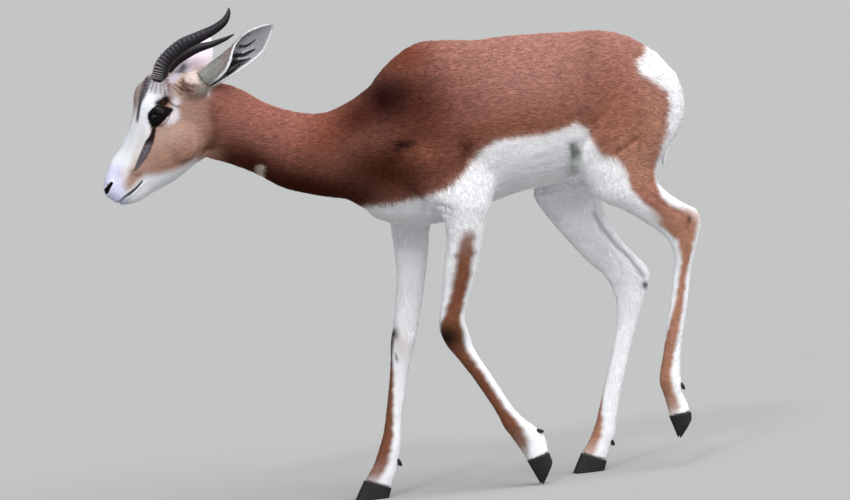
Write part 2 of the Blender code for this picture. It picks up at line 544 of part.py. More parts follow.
def carve_head(mesh):
    """Lids, tear groove and the line of the mouth, in the head's own frame."""
    inverse = np.array(head_matrix().inverted())
    points = coordinates(mesh)
    local = points @ inverse[:3, :3].T + inverse[:3, 3]
    normals = np.array([v.normal[:] for v in mesh.vertices]) @ inverse[:3, :3].T
    x, y, z = local.T
    in_head = x < -0.03
    groove, place = to_path(x, z, MOUTH)
    depth = MOUTH_CUT[0] * np.exp(-(groove / MOUTH_CUT[1]) ** 2)
    lips = LIPS[0] * np.exp(-((groove - LIPS[1]) / LIPS[2]) ** 2)
    fade = smooth_step(0.0, 0.07, place)
    local += normals * ((lips - depth) * fade * in_head)[:, None]
    groove, place = to_path(x, z, TEAR)
    depth = TEAR_CUT[0] * np.exp(-(groove / TEAR_CUT[1]) ** 2) * (1 - smooth_step(0.6, 1.0, place))
    on_side = np.abs(y) > EYE[1] / 2
    local -= normals * (depth * in_head * on_side)[:, None]
    for side in SIDES.values():
        centre = np.array([EYE[0], side * EYE[1], EYE[2]])
        way = local - centre
        reach = np.linalg.norm(way, axis=1)
        edge = lid_edge(local[:, 0], local[:, 2])
        facing = (way[:, 1] * side > EYE_RADIUS / 10) & (reach < 2.2 * EYE_RADIUS)
        outside = EYE_RADIUS + LID_WALL + LID_RIM * smooth_step(0, LID_SOFT[0], edge)
        inside = EYE_RADIUS - SOCKET
        aim = np.where(edge > 0, outside, inside)
        pull = (1 - smooth_step(*LID_SOFT, edge)) * facing
        local = np.where(pull[:, None] > 0,
                         centre + way * (1 + pull * (aim / np.maximum(reach, 1e-6) - 1))[:, None],
                         local)
    forward = np.array(head_matrix())
    move_points(mesh, local @ forward[:3, :3].T + forward[:3, 3])


def flesh_body(group):
    """Trunk, neck, head and legs fused in one skin."""
    pieces = [
        loft("trunk", TRUNK, group),
        loft("neck_form", NECK, group),
        loft("fore_left", FORE_LEFT, group),
        loft("fore_right", FORE_RIGHT, group),
        loft("hind_left", HIND_LEFT, group),
        loft("hind_right", HIND_RIGHT, group),
    ]
    skull = loft("head_form", HEAD, group)
    skull.data.transform(head_matrix())
    pieces.append(skull)
    for centre, radii in HEAD_MASSES:
        for side in SIDES.values():
            place = (centre[0], side * centre[1], centre[2])
            pieces.append(ball("mass", place, radii, group, head_matrix()))
    for place, radii in EAR_BASES.values():
        pieces.append(ball("mass", place, radii, group, head_matrix()))
    body = fuse(join(pieces, "flesh"), VOXEL)
    relax(body.data, SOFTENING)
    points = coordinates(body.data)
    behind_head = smooth_step(-0.42, -0.30, points[:, 0])
    trunk = behind_head * smooth_step(0.56, 0.66, points[:, 2])
    relax(body.data, TRUNK_SOFTENING, trunk)
    inverse = np.array(head_matrix().inverted())
    for limit in (0.02, -0.045):
        points = coordinates(body.data)
        local = points @ inverse[:3, :3].T + inverse[:3, 3]
        refine(body, (local[:, 0] < limit) & (points[:, 0] < HEAD_ORIGIN[0] + 0.06))
    body.data.update()
    carve_head(body.data)
    return body


def cutter_object(item):
    item.hide_render = True
    item.display_type = "WIRE"
    return item


def cut(item, cutter, operation="DIFFERENCE", solver="EXACT"):
    step = item.modifiers.new("Cut", "BOOLEAN")
    step.operation = operation
    step.solver = solver
    step.object = cutter
    bake(item)


def plate(name, start, end, span, group):
    """A thin cutter standing across the animal."""
    run = Vector((end[0] - start[0], 0, end[1] - start[1]))
    middle = Vector(((start[0] + end[0]) / 2, (span[0] + span[1]) / 2, (start[1] + end[1]) / 2))
    shape = bmesh.new()
    bmesh.ops.create_cube(shape, size=1.0)
    turn = Matrix.Rotation(-math.atan2(run.z, run.x), 4, "Y")
    size = Matrix.Diagonal((run.length, span[1] - span[0], GAP, 1.0))
    bmesh.ops.transform(shape, matrix=Matrix.Translation(middle) @ turn @ size, verts=shape.verts)
    mesh = bpy.data.meshes.new(name)
    shape.to_mesh(mesh)
    shape.free()
    item = bpy.data.objects.new(name, mesh)
    group.objects.link(item)
    return cutter_object(item)


def thin(item, triangles):
    """Fewer triangles, most of them kept where the form turns sharply."""
    bmesh_copy = bmesh.new()
    bmesh_copy.from_mesh(item.data)
    bmesh.ops.triangulate(bmesh_copy, faces=bmesh_copy.faces)
    bmesh_copy.to_mesh(item.data)
    bmesh_copy.free()
    step = item.modifiers.new("Thin", "DECIMATE")
    step.ratio = triangles / len(item.data.polygons)
    bake(item)


def islands(mesh):
    """The loose bodies of a mesh, as lists of faces."""
    shape = bmesh.new()
    shape.from_mesh(mesh)
    shape.faces.ensure_lookup_table()
    left = set(range(len(shape.faces)))
    found = []
    while left:
        seed = left.pop()
        body, front = {seed}, [seed]
        while front:
            face = shape.faces[front.pop()]
            for edge in face.edges:
                for other in edge.link_faces:
                    if other.index in left:
                        left.discard(other.index)
                        body.add(other.index)
                        front.append(other.index)
        found.append(sorted(body))
    shape.free()
    return found


def keep_faces(mesh, faces, name):
    shape = bmesh.new()
    shape.from_mesh(mesh)
    shape.faces.ensure_lookup_table()
    wanted = set(faces)
    bmesh.ops.delete(shape, geom=[f for f in shape.faces if f.index not in wanted], context="FACES")
    new = bpy.data.meshes.new(name)
    shape.to_mesh(new)
    shape.free()
    return new


def volume(mesh):
    shape = bmesh.new()
    shape.from_mesh(mesh)
    size = shape.calc_volume(signed=True)
    shape.free()
    return size


def largest(item):
    """Drop every loose body but the largest."""
    bodies = [keep_faces(item.data, faces, item.name) for faces in islands(item.data)]
    item.data = max(bodies, key=volume)


def swollen(item, by, group):
    """A copy grown outwards, to cut its neighbours clear of it."""
    copy = bpy.data.objects.new(item.name + "_swollen", item.data.copy())
    group.objects.link(copy)
    points = coordinates(copy.data)
    normals = np.array([v.normal[:] for v in copy.data.vertices])
    move_points(copy.data, points + normals * by)
    return cutter_object(copy)


def cut_faces():
    """The planes of all the thin cuts, those at the coronets among them."""
    lines = list(CUTS)
    for front, rear, _, _, y in HOOVES.values():
        along = (Vector(rear) - Vector(front)).normalized() * KNIFE_REACH / 2
        start, end = Vector(front) - along, Vector(rear) + along
        lines.append((tuple(start), tuple(end), (y - KNIFE_REACH, y + KNIFE_REACH)))
    return lines


def divide(body, group, cutters):
    """Part the flesh into its named nodes with thin cuts."""
    plates = [plate("plate", *line, cutters) for line in cut_faces()]
    cut(body, cutter_object(join(plates, "knife")))
    bodies = []
    for faces in islands(body.data):
        mesh = keep_faces(body.data, faces, "piece")
        bodies.append((mesh, Vector(coordinates(mesh).mean(axis=0)), volume(mesh)))
    sizeable = [b for b in bodies if b[2] > SMALLEST_NODE]
    nodes = {}
    for name, middle in FLESH.items():
        mesh = min(sizeable, key=lambda b: (b[1] - Vector(middle)).length)[0]
        mesh.name = name
        nodes[name] = bpy.data.objects.new(name, mesh)
        group.objects.link(nodes[name])
    bpy.data.objects.remove(body, do_unlink=True)
    return nodes


def tube(name, path, group, sides, flatten):
    """A closed tapering rod along points that carry their own radius."""
    centres = [Vector(p[:3]) for p in path]
    points = []
    across = Vector((0, 1, 0))
    for i, centre in enumerate(centres):
        ahead = centres[min(i + 1, len(centres) - 1)] - centres[max(i - 1, 0)]
        ahead.normalize()
        across = (across - ahead * across.dot(ahead)).normalized()
        over = ahead.cross(across)
        for s in range(sides):
            turn = 2 * math.pi * s / sides
            reach = across * math.cos(turn) * flatten + over * math.sin(turn)
            points.append(centre + reach * path[i][3])
    faces = []
    for r in range(len(centres) - 1):
        for s in range(sides):
            a, b = r * sides + s, r * sides + (s + 1) % sides
            faces.append((a, b, b + sides, a + sides))
    faces.append(tuple(range(sides)))
    faces.append(tuple(range((len(centres) - 1) * sides, len(centres) * sides)))
    return mesh_object(name, points, faces, group)


def horn(side, group):
    """A ringed horn: each ring is a ridge and a valley, then a smooth tip."""
    curve = np.array(between(HORNS[side], 12))
    step = np.linalg.norm(np.diff(curve[:, :3], axis=0), axis=1)
    run = np.concatenate([[0], np.cumsum(step)])
    run /= run[-1]
    low, high = HORN_RINGED
    stations = [(0.0, 0.0)]
    for ring in range(HORN_RINGS):
        start = low + (high - low) * (ring / HORN_RINGS) ** 1.25
        end = low + (high - low) * ((ring + 1) / HORN_RINGS) ** 1.25
        fade = 1 - 0.6 * ring / HORN_RINGS
        stations.append((start, -0.3 * fade))
        stations.append((start + 0.62 * (end - start), fade))
    stations += [(high + (1 - high) * t, 0.0) for t in (0.03, 0.2, 0.4, 0.58, 0.74, 0.87, 0.95, 1.0)]
    path = []
    for place, ridge in stations:
        row = [np.interp(place, run, curve[:, c]) for c in range(4)]
        row[3] *= 1 + HORN_RIDGE * ridge
        path.append(row)
    item = tube(f"horn_{side}", path, group, 10, HORN_FLATTEN)
    item.data.transform(head_matrix())
    return item


def ear(side, group, across=10, along=2):
    """A cupped leaf of even thickness, rolled nearly shut at its root."""
    root, tip, opening, bow, rows = EARS[side]
    root, tip = Vector(root), Vector(tip)
    axis = (tip - root).normalized()
    opening = Vector(opening)
    opening = (opening - axis * opening.dot(axis)).normalized()
    wide = axis.cross(opening) * -SIDES[side]
    points, faces = [], []
    filled = between(rows, along)
    for place, half, depth, front, rear in filled:
        centre = root + (tip - root) * place + wide * bow * math.sin(math.pi * max(place, 0))
        for s in range(across + 1):
            turn = math.radians(-rear + (front + rear) * s / across)
            points.append(centre + wide * math.sin(turn) * half - opening * math.cos(turn) * depth)
    for r in range(len(filled) - 1):
        for s in range(across):
            a = r * (across + 1) + s
            faces.append((a, a + 1, a + across + 2))
            faces.append((a, a + across + 2, a + across + 1))
    item = mesh_object(f"ear_{side}", points, faces, group)
    wall = item.modifiers.new("Wall", "SOLIDIFY")
    wall.thickness = EAR_WALL
    wall.offset = 0.0
    bake(item)
    item.data.transform(head_matrix())
    return item


def eye(side, group):
    place = (EYE[0], SIDES[side] * EYE[1], EYE[2])
    radii = (EYE_RADIUS,) * 3
    return ball(f"eye_{side}", place, radii, group, head_matrix(), (20, 12))


def nostrils(group):
    """Slanted hollows on both sides of the nose."""
    cutters = []
    for side in SIDES.values():
        slope = Matrix.Rotation(-NOSTRIL_SLOPE, 4, "Y")
        flare = Matrix.Rotation(side * NOSTRIL_FLARE, 4, "Z")
        place = Matrix.Translation((NOSTRIL[0], side * NOSTRIL[1], NOSTRIL[2]))
        turn = head_matrix() @ place @ flare @ slope
        cutters.append(ball("nostril", (0, 0, 0), NOSTRIL_SIZE, group, turn, (10, 6)))
    return cutters


def hoof(foot, side, group):
    """One of the two hooves of a foot: a tapered block with a pointed toe."""
    front, rear, toe, heel, y = HOOVES[foot]
    down = Vector((toe[0] - front[0], toe[1] - front[1])).normalized() * GAP
    rows = []
    for t in (0.0, 0.5, 1.0):
        lower = down * (1 - t)
        a = [front[i] + (toe[i] - front[i]) * t + lower[i] for i in range(2)]
        b = [rear[i] + (heel[i] - rear[i]) * t + lower[i] for i in range(2)]
        width = HOOF_CORONET + (HOOF_SOLE - HOOF_CORONET) * t
        rows.append((*a, *b, y + side * (width + HOOF_SPLIT), width, *HOOF_SECTION))
    place = "outer" if side * y > 0 else "inner"
    return loft(f"hoof_{foot}_{place}", rows, group, sides=14, steps=1)


def floor_block(group):
    """The floor under the trailing foot, whose toes are worn flat on it."""
    toe_x, y = HOOVES["fore_left"][2][0], HOOVES["fore_left"][4]
    size = 0.2
    shape = bmesh.new()
    bmesh.ops.create_cube(shape, size=size)
    bmesh.ops.translate(shape, vec=(toe_x, y, -size / 2), verts=shape.verts)
    mesh = bpy.data.meshes.new("floor_block")
    shape.to_mesh(mesh)
    shape.free()
    item = bpy.data.objects.new("floor_block", mesh)
    group.objects.link(item)
    return cutter_object(item)


def dewclaw(foot, side, group):
    """A small horny cone behind the fetlock."""
    (x, z), (dx, dz), y = DEWCLAWS[foot]
    radius, length = DEWCLAW_SIZE
    place = "outer" if side * y > 0 else "inner"
    start = Vector((x, y + side * DEWCLAW_SPREAD, z))
    way = Vector((dx, side * DEWCLAW_SPLAY, dz)).normalized()
    path = [(*(start + way * length * t), radius * share) for t, share in DEWCLAW_PROFILE]
    return tube(f"dewclaw_{foot}_{place}", path, group, 8, 1.0)


def centre_on_origin(nodes):
    """The floor's origin goes under the middle of the whole animal's box."""
    low = np.min([coordinates(n.data).min(axis=0) for n in nodes], axis=0)
    high = np.max([coordinates(n.data).max(axis=0) for n in nodes], axis=0)
    shift = Matrix.Translation((-(low[0] + high[0]) / 2, -(low[1] + high[1]) / 2, 0))
    for node in nodes:
        node.data.transform(shift)


def main():
    clear_scene()
    gazelle = collection("gazelle")
    cutters = collection("cutters")
    body = flesh_body(gazelle)
    thin(body, FLESH_TRIANGLES)
    eyes = [eye(side, gazelle) for side in SIDES]
    for item in nostrils(cutters) + [swollen(item, GAP, cutters) for item in eyes]:
        cut(body, cutter_object(item))
    clear = swollen(body, GAP, cutters)
    hooves = [hoof(foot, side, gazelle) for foot in HOOVES for side in SIDES.values()]
    horns = [horn(side, gazelle) for side in SIDES]
    ears = [ear(side, gazelle) for side in SIDES]
    tail = loft("tail", TAIL, gazelle, sides=12, steps=2)
    dewclaws = [dewclaw(foot, side, gazelle) for foot in DEWCLAWS for side in SIDES.values()]
    for item in horns + ears + [tail] + dewclaws:
        cut(item, clear)
        largest(item)
    for horn_item, ear_item in zip(horns, ears):
        cut(ear_item, swollen(horn_item, GAP, cutters))
        largest(ear_item)
    ground = floor_block(cutters)
    for item in hooves[:2]:
        cut(item, ground)
    flesh = divide(body, gazelle, cutters)
    for item in flesh.values():
        item.data.materials.append(finish(item.name, COLOURS.get(item.name, WHITE), 0.85))
    for item, colour, rough in (
        [(i, (0.05, 0.045, 0.05), 0.45) for i in horns]
        + [(i, (0.45, 0.40, 0.37), 0.85) for i in ears]
        + [(i, (0.01, 0.008, 0.008), 0.1) for i in eyes]
        + [(i, (0.02, 0.02, 0.02), 0.4) for i in hooves + dewclaws]
        + [(tail, WHITE, 0.85)]
    ):
        item.data.materials.append(finish(item.name, colour, rough))
    nodes = list(flesh.values()) + horns + ears + eyes + hooves + dewclaws + [tail]
    centre_on_origin(nodes)
    for node in nodes:
        node.data.shade_smooth()
        node.data.set_sharp_from_angle(angle=math.radians(40))


main()
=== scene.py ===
"""Looks of the walking mhorr gazelle: one skin with its markings, a short coat laid along
it, eyes, horns and hooves, a pale studio and the camera.

The animal faces -X with its left side at -Y. Places are in metres in the part's own design
frame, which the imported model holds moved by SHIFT.
"""

import math

import bmesh
import bpy
import numpy as np
from mathutils import Matrix, Vector
from mathutils.kdtree import KDTree


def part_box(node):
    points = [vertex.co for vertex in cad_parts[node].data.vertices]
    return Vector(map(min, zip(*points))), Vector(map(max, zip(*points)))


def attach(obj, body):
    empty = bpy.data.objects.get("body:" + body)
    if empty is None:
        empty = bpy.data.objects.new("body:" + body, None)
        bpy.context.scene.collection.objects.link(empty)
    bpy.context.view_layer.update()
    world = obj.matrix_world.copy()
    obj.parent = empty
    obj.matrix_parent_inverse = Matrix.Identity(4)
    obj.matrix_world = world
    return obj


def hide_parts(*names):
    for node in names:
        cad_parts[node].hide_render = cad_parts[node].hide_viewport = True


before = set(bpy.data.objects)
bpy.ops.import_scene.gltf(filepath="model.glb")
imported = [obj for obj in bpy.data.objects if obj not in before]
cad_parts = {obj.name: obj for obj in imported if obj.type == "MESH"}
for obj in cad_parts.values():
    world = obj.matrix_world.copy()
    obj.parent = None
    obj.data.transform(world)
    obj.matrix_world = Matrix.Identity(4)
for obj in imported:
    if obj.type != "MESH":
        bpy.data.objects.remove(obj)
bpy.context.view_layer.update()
rng = np.random.default_rng(7)

# The head's own frame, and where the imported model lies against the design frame
EYE = Vector((-0.0735, 0.0405, 0.0135))     # left eyeball's centre, before mirroring, in the head
EYE_RADIUS = 0.0205
SIDES = {"left": -1.0, "right": 1.0}
head_turn = Matrix.Rotation(math.radians(-10), 4, "Z") @ Matrix.Rotation(math.radians(-8), 4, "X")
HEAD = Matrix.Translation((-0.464, 0.0, 0.847)) @ head_turn
eye_low, eye_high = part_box("eye_left")
SHIFT = (eye_low + eye_high) / 2 - HEAD @ Vector((EYE.x, -EYE.y, EYE.z))
HEAD = Matrix.Translation(SHIFT) @ HEAD

# Grain of the meshes
SKIN_GRAIN = 0.0034
EAR_GRAIN = 0.0013
HORN_SIDES = 40
HOOF_GRAIN = 0.0015
# Rounds of smoothing
SKIN_ROUNDS = 10
BODY_ROUNDS = 60
EAR_ROUNDS = 14
SEAM_ROUNDS = 12
HOOF_ROUNDS = 5

FLESH = ["head", "neck", "torso", "tail"] + [
    f"{leg}_{part}_{side}" for leg in ("fore", "hind") for part in ("upper", "lower") for side in SIDES
]

# Coat by region: depth of the skin under the solids, tuft length, width and lift (degrees)
COAT = {
    "head": (0.0008, 0.0048, 0.00075, 12),
    "neck": (0.0018, 0.0105, 0.0013, 10),
    "torso": (0.0022, 0.0125, 0.0015, 9),
    "tail": (0.0012, 0.01, 0.0014, 2),
    "upper": (0.0014, 0.0075, 0.0011, 10),
    "lower": (0.001, 0.0052, 0.0009, 11),
    "ear": (0.0003, 0.0042, 0.0007, 10),
}

# Colours, linear
CHESTNUT = (0.305, 0.124, 0.093)
PINK_BROWN = (0.396, 0.189, 0.156)
RED_BROWN = (0.195, 0.053, 0.028)
SHADED_BROWN = (0.104, 0.026, 0.016)
# dark reds laid low on the body and over the shoulder: partly coat, partly painted shade
RUSSET_AND_SHADE = (0.044, 0.009, 0.003)
DARK_COAT_AND_SHADE = (0.011, 0.002, 0.002)
WITHERS_SHADE = (0.062, 0.014, 0.008)
LOW_FLANK = (0.24, 0.092, 0.052)
THIGH_TAN = (0.313, 0.118, 0.07)
SHANK_TAN = (0.45, 0.225, 0.155)
NECK_ROSE = (0.354, 0.138, 0.106)
TAN = (0.4, 0.238, 0.192)
LOW_CHEEK = (0.372, 0.202, 0.14)
PALE_TAN = (0.515, 0.359, 0.294)
CREAM = (0.626, 0.515, 0.442)
WHITE = (0.9, 0.905, 0.94)
FACE_WHITE = (0.78, 0.79, 0.83)
GREY = (0.23, 0.215, 0.215)
SLATE = (0.042, 0.04, 0.058)
BLACK = (0.008, 0.007, 0.007)
STRIPE = {"fore": (0.205, 0.08, 0.044), "hind": (0.4, 0.195, 0.128)}

# Markings in the side view of the design frame, (x, z); the right side mirrors the left
BROWN_COAT = [
    (-0.6, 1.1), (-0.6, 0.55), (-0.17, 0.59), (-0.129, 0.63), (-0.069, 0.63), (-0.003, 0.641),
    (0.042, 0.655), (0.078, 0.682), (0.114, 0.72), (0.149, 0.738), (0.2, 0.741), (0.247, 0.74),
    (0.291, 0.746), (0.328, 0.757), (0.35, 0.742), (0.365, 0.712), (0.376, 0.686), (0.411, 0.673),
    (0.428, 0.643), (0.432, 0.605), (0.458, 0.57), (0.491, 0.545), (0.52, 0.49), (0.566, 0.51),
    (0.554, 0.54), (0.518, 0.56), (0.498, 0.582), (0.494, 0.608), (0.495, 0.64), (0.505, 0.672),
    (0.523, 0.712), (0.537, 0.764), (0.539, 0.8),
    (0.51, 0.825), (0.483, 0.845), (0.477, 0.869), (0.502, 0.888), (0.514, 0.904), (0.52, 1.1),
]
# Soft tones of the brown coat, laid in this order: middle, half sizes along and across,
# turn in degrees, colour, strength; several stand partly for painted light and shade, as marked below
TONES = [
    # paler pink over the back and upper flank: partly coat, partly painted sheen and light from above
    ((0.28, 0.905), (0.26, 0.07), 0, PINK_BROWN, 0.6),
    ((0.235, 0.862), (0.11, 0.045), 0, PINK_BROWN, 0.55),
    ((0.48, 0.82), (0.06, 0.07), 0, PINK_BROWN, 0.85),
    ((0.43, 0.75), (0.065, 0.1), 0, THIGH_TAN, 0.85),
    ((0.45, 0.655), (0.06, 0.075), 0, SHANK_TAN, 0.9),
    ((0.5, 0.74), (0.03, 0.08), 0, SHANK_TAN, 0.6),
    # darker low on the flank: partly coat, partly painted shade
    ((0.21, 0.762), (0.15, 0.024), 2, LOW_FLANK, 0.75),
    ((0.085, 0.722), (0.045, 0.04), 35, SHADED_BROWN, 0.45),
    ((-0.205, 0.79), (0.085, 0.05), 35, RED_BROWN, 0.9),
    ((-0.32, 0.855), (0.11, 0.06), -30, NECK_ROSE, 0.9),
    ((0.0, 0.8), (0.095, 0.11), 0, SHADED_BROWN, 0.84),
    ((-0.01, 0.935), (0.06, 0.032), 10, RED_BROWN, 0.85),
    # darker low shoulder, chest and lower neck: partly coat, partly painted shade
    ((-0.075, 0.7), (0.12, 0.065), -10, RUSSET_AND_SHADE, 0.9),
    ((-0.265, 0.686), (0.095, 0.034), -14, RUSSET_AND_SHADE, 0.95),
    ((-0.355, 0.745), (0.06, 0.026), -38, RUSSET_AND_SHADE, 0.8),
    # dark patch over the shoulder and withers: partly coat, partly painted shade
    ((-0.032, 0.85), (0.07, 0.058), 20, WITHERS_SHADE, 0.8),
    ((-0.072, 0.848), (0.058, 0.042), 30, DARK_COAT_AND_SHADE, 0.98),
    # darker low shoulder: partly coat, partly painted shade
    ((-0.075, 0.715), (0.075, 0.04), 0, RUSSET_AND_SHADE, 0.6),
    ((-0.13, 0.815), (0.055, 0.03), 30, WITHERS_SHADE, 0.85),
    # painted shade in the crease behind the elbow
    ((0.083, 0.724), (0.014, 0.03), -20, RUSSET_AND_SHADE, 0.6),
    # painted highlight on the swelling of the elbow
    ((-0.006, 0.722), (0.04, 0.028), 10, (0.25, 0.09, 0.056), 0.75),
    # painted shade in the crease above the elbow
    ((-0.05, 0.75), (0.016, 0.011), 20, DARK_COAT_AND_SHADE, 0.85),
]
# Painted shade in the creases and hollows of the body: path, half width, colour, strength
CREASE_SHADE_LINES = [
    ([(-0.058, 0.74), (-0.044, 0.75), (-0.024, 0.754)], 0.005, (0.016, 0.006, 0.005), 0.7),
    ([(0.462, 0.716), (0.438, 0.697), (0.412, 0.688)], 0.006, (0.15, 0.055, 0.03), 0.6),
    ([(0.317, 0.709), (0.32, 0.7), (0.323, 0.69)], 0.0085, (0.022, 0.025, 0.018), 1.0),
    ([(0.321, 0.695), (0.322, 0.682), (0.322, 0.664)], 0.016, (0.3, 0.33, 0.29), 0.7),
    ([(0.011, 0.621), (0.027, 0.615), (0.043, 0.606)], 0.0022, (0.12, 0.115, 0.105), 0.8),
    ([(0.396, 0.925), (0.383, 0.885), (0.367, 0.834), (0.347, 0.775)], 0.016, (0.19, 0.085, 0.065), 0.45),
]
THROAT_SPOT = [(-0.354, 0.737), (-0.342, 0.741), (-0.336, 0.738), (-0.336, 0.718), (-0.347, 0.715)]
# How far the right legs stand ahead of the left ones: height, lag
HIND_LAG = ((0.5, 0.56, 0.6, 0.65, 0.7, 0.75, 0.8), (0.135, 0.1, 0.067, 0.037, 0.018, 0.003, 0.0))
FORE_LAG = ((0.56, 0.6, 0.635, 0.68, 0.74, 0.8), (0.075, 0.07, 0.05, 0.027, 0.015, 0.0))

# Face, in the side view of the head's frame
LID_OPENING = [
    (-0.0555, 0.02), (-0.068, 0.029), (-0.082, 0.0282), (-0.0912, 0.017), (-0.0918, 0.006),
    (-0.088, 0.0005), (-0.08, -0.0048), (-0.07, -0.0035), (-0.061, 0.007),
]
DARK_EYE = [
    (-0.0463, 0.0242), (-0.0667, 0.0304), (-0.0796, 0.0308), (-0.0911, 0.0218), (-0.097, 0.0142),
    (-0.0962, -0.0001), (-0.0915, -0.0095), (-0.0852, -0.0118), (-0.0702, -0.0032), (-0.0574, 0.0077),
    (-0.0495, 0.0163),
]
# Dark hair above the eye and beside the horn: path, half width, strength
BROW = [
    ([(-0.0755, 0.0375), (-0.066, 0.0425), (-0.056, 0.0475)], 0.006, 1.0),
    ([(-0.069, 0.033), (-0.06, 0.037), (-0.054, 0.043)], 0.0056, 1.0),
    ([(-0.052, 0.04), (-0.044, 0.033), (-0.0365, 0.028), (-0.0301, 0.0286)], 0.0017, 0.7),
    ([(-0.08, 0.042), (-0.069, 0.048)], 0.0014, 0.45),
    ([(-0.066, 0.048), (-0.056, 0.053)], 0.0014, 0.45),
]
WHITE_FACE = [
    (-0.23, -0.19), (-0.23, 0.0), (-0.122, -0.004), (-0.113, 0.0251), (-0.105, 0.0499),
    (-0.097, 0.0697), (-0.089, 0.09), (-0.064, 0.095), (-0.052, 0.08), (-0.052, 0.056),
    (-0.07, 0.04), (-0.088, 0.026), (-0.098, 0.014), (-0.0965, -0.006), (-0.0945, -0.02),
    (-0.103, -0.035),
    (-0.113, -0.0485), (-0.123, -0.066), (-0.133, -0.08), (-0.144, -0.096), (-0.154, -0.111),
    (-0.164, -0.126), (-0.16, -0.137), (-0.148, -0.133), (-0.133, -0.12), (-0.1191, -0.1097),
    (-0.091, -0.1099), (-0.0575, -0.104), (-0.021, -0.093), (-0.005, -0.09), (-0.01, -0.13),
    (-0.1, -0.19),
]
BEHIND_EYE = [
    (-0.047, 0.041), (-0.0385, 0.0525), (-0.0285, 0.045), (-0.027, 0.0345), (-0.034, 0.026),
    (-0.031, 0.017), (-0.0325, 0.0029), (-0.0442, -0.0076), (-0.058, -0.0112), (-0.066, -0.008),
    (-0.0574, 0.0077), (-0.0463, 0.0242),
]
TEAR_DARK = [
    (-0.0831, -0.009), (-0.0869, -0.0298), (-0.0922, -0.0445), (-0.0994, -0.059), (-0.1084, -0.0733),
    (-0.119, -0.0836), (-0.131, -0.095), (-0.1391, -0.096), (-0.1329, -0.0818), (-0.125, -0.0674),
    (-0.117, -0.053), (-0.109, -0.039), (-0.099, -0.0285), (-0.0915, -0.0138),
]
TEAR_TAIL = [
    (-0.129, -0.091), (-0.1379, -0.1074), (-0.1475, -0.1197), (-0.1558, -0.1265), (-0.159, -0.1186),
    (-0.151, -0.1061), (-0.141, -0.092),
]
TEAR_CREAM = [(-0.109, -0.02), (-0.123, -0.05), (-0.137, -0.078), (-0.147, -0.098)]
# Grey and pink hair between the horn, the brow and the ear: path, half width, colour, strength
CROWN_HAIR = [
    ([(-0.064, 0.095), (-0.062, 0.06)], 0.014, (0.43, 0.375, 0.4), 0.9),
    ([(-0.08, 0.09), (-0.079, 0.07)], 0.009, (0.42, 0.39, 0.43), 0.85),
    ([(-0.048, 0.088), (-0.046, 0.05)], 0.0085, (0.33, 0.225, 0.225), 0.8),
    ([(-0.085, 0.094), (-0.089, 0.076)], 0.006, (0.4, 0.39, 0.44), 0.7),
] + [([top, (top[0] + run[0], top[1] + run[1])], 0.0017, (0.1, 0.08, 0.1), 0.85) for top, run in (
    ((-0.083, 0.093), (-0.012, -0.027)), ((-0.077, 0.09), (-0.01, -0.025)),
    ((-0.07, 0.09), (-0.008, -0.029)), ((-0.064, 0.088), (-0.003, -0.029)),
    ((-0.058, 0.088), (0.0, -0.03)), ((-0.052, 0.088), (0.002, -0.028)),
    ((-0.047, 0.078), (-0.002, -0.016)), ((-0.056, 0.06), (-0.005, -0.01)))]
FAR_LOBE = [
    (-0.045, 0.079), (-0.046, 0.089), (-0.04, 0.106), (-0.018, 0.106), (-0.025, 0.09),
    (-0.035, 0.079),
]
EAR_PAD = [
    (-0.019, 0.088), (-0.008, 0.099), (0.026, 0.098), (0.032, 0.08), (0.017, 0.068),
    (-0.001, 0.067), (-0.014, 0.075),
]
FOREHEAD_STRIPE = [
    (-0.092, 0.092), (-0.0975, 0.0773), (-0.103, 0.0623), (-0.1092, 0.0496), (-0.1135, 0.0364),
    (-0.1195, 0.0139), (-0.1232, -0.0014),
]
MOUTH = [
    (-0.1208, -0.1178), (-0.1278, -0.1242), (-0.1382, -0.1337), (-0.1507, -0.1418), (-0.1632, -0.1487),
    (-0.172, -0.1549), (-0.183, -0.16),
]
CHEEK_SHADE = [(0.043, 0.02), (0.044, -0.0064), (0.042, -0.0299), (0.0323, -0.0526), (0.015, -0.069)]
TEMPLE_HAIR = [
    [(-0.026, 0.08), (-0.0175, 0.0735), (-0.0097, 0.0683), (0.0032, 0.0631)],
    [(-0.0211, 0.071), (-0.0103, 0.0626), (0.0009, 0.054)],
    [(-0.029, 0.071), (-0.0181, 0.0614), (-0.007, 0.056)],
    [(-0.042, 0.0717), (-0.0333, 0.063), (-0.0221, 0.0512)],
    [(-0.036, 0.076), (-0.029, 0.069), (-0.02, 0.06)],
]
EAR_FOOT = ((0.0237, 0.0565), (0.017, 0.015))      # painted greenish shade under the near ear: middle, half sizes
EAR_FOOT_EDGE = [(0.05, 0.071), (0.0407, 0.0621), (0.0326, 0.0449)]
TEAR = [(-0.0915, -0.006), (-0.0945, -0.024), (-0.101, -0.038), (-0.11, -0.052)]
NOSTRIL = ((-0.1885, 0.0225, -0.1175), (-0.201, 0.0145, -0.1315))   # its line, mirrored
NOSTRIL_SIDE_VIEW = [(x, z) for x, _, z in NOSTRIL]
NOSTRIL_RADIUS = 0.0062
CROWN_CORNER = (-0.106, 0.096)
CROWN_REACH = 0.015
CROWN_PRESS = 0.0055

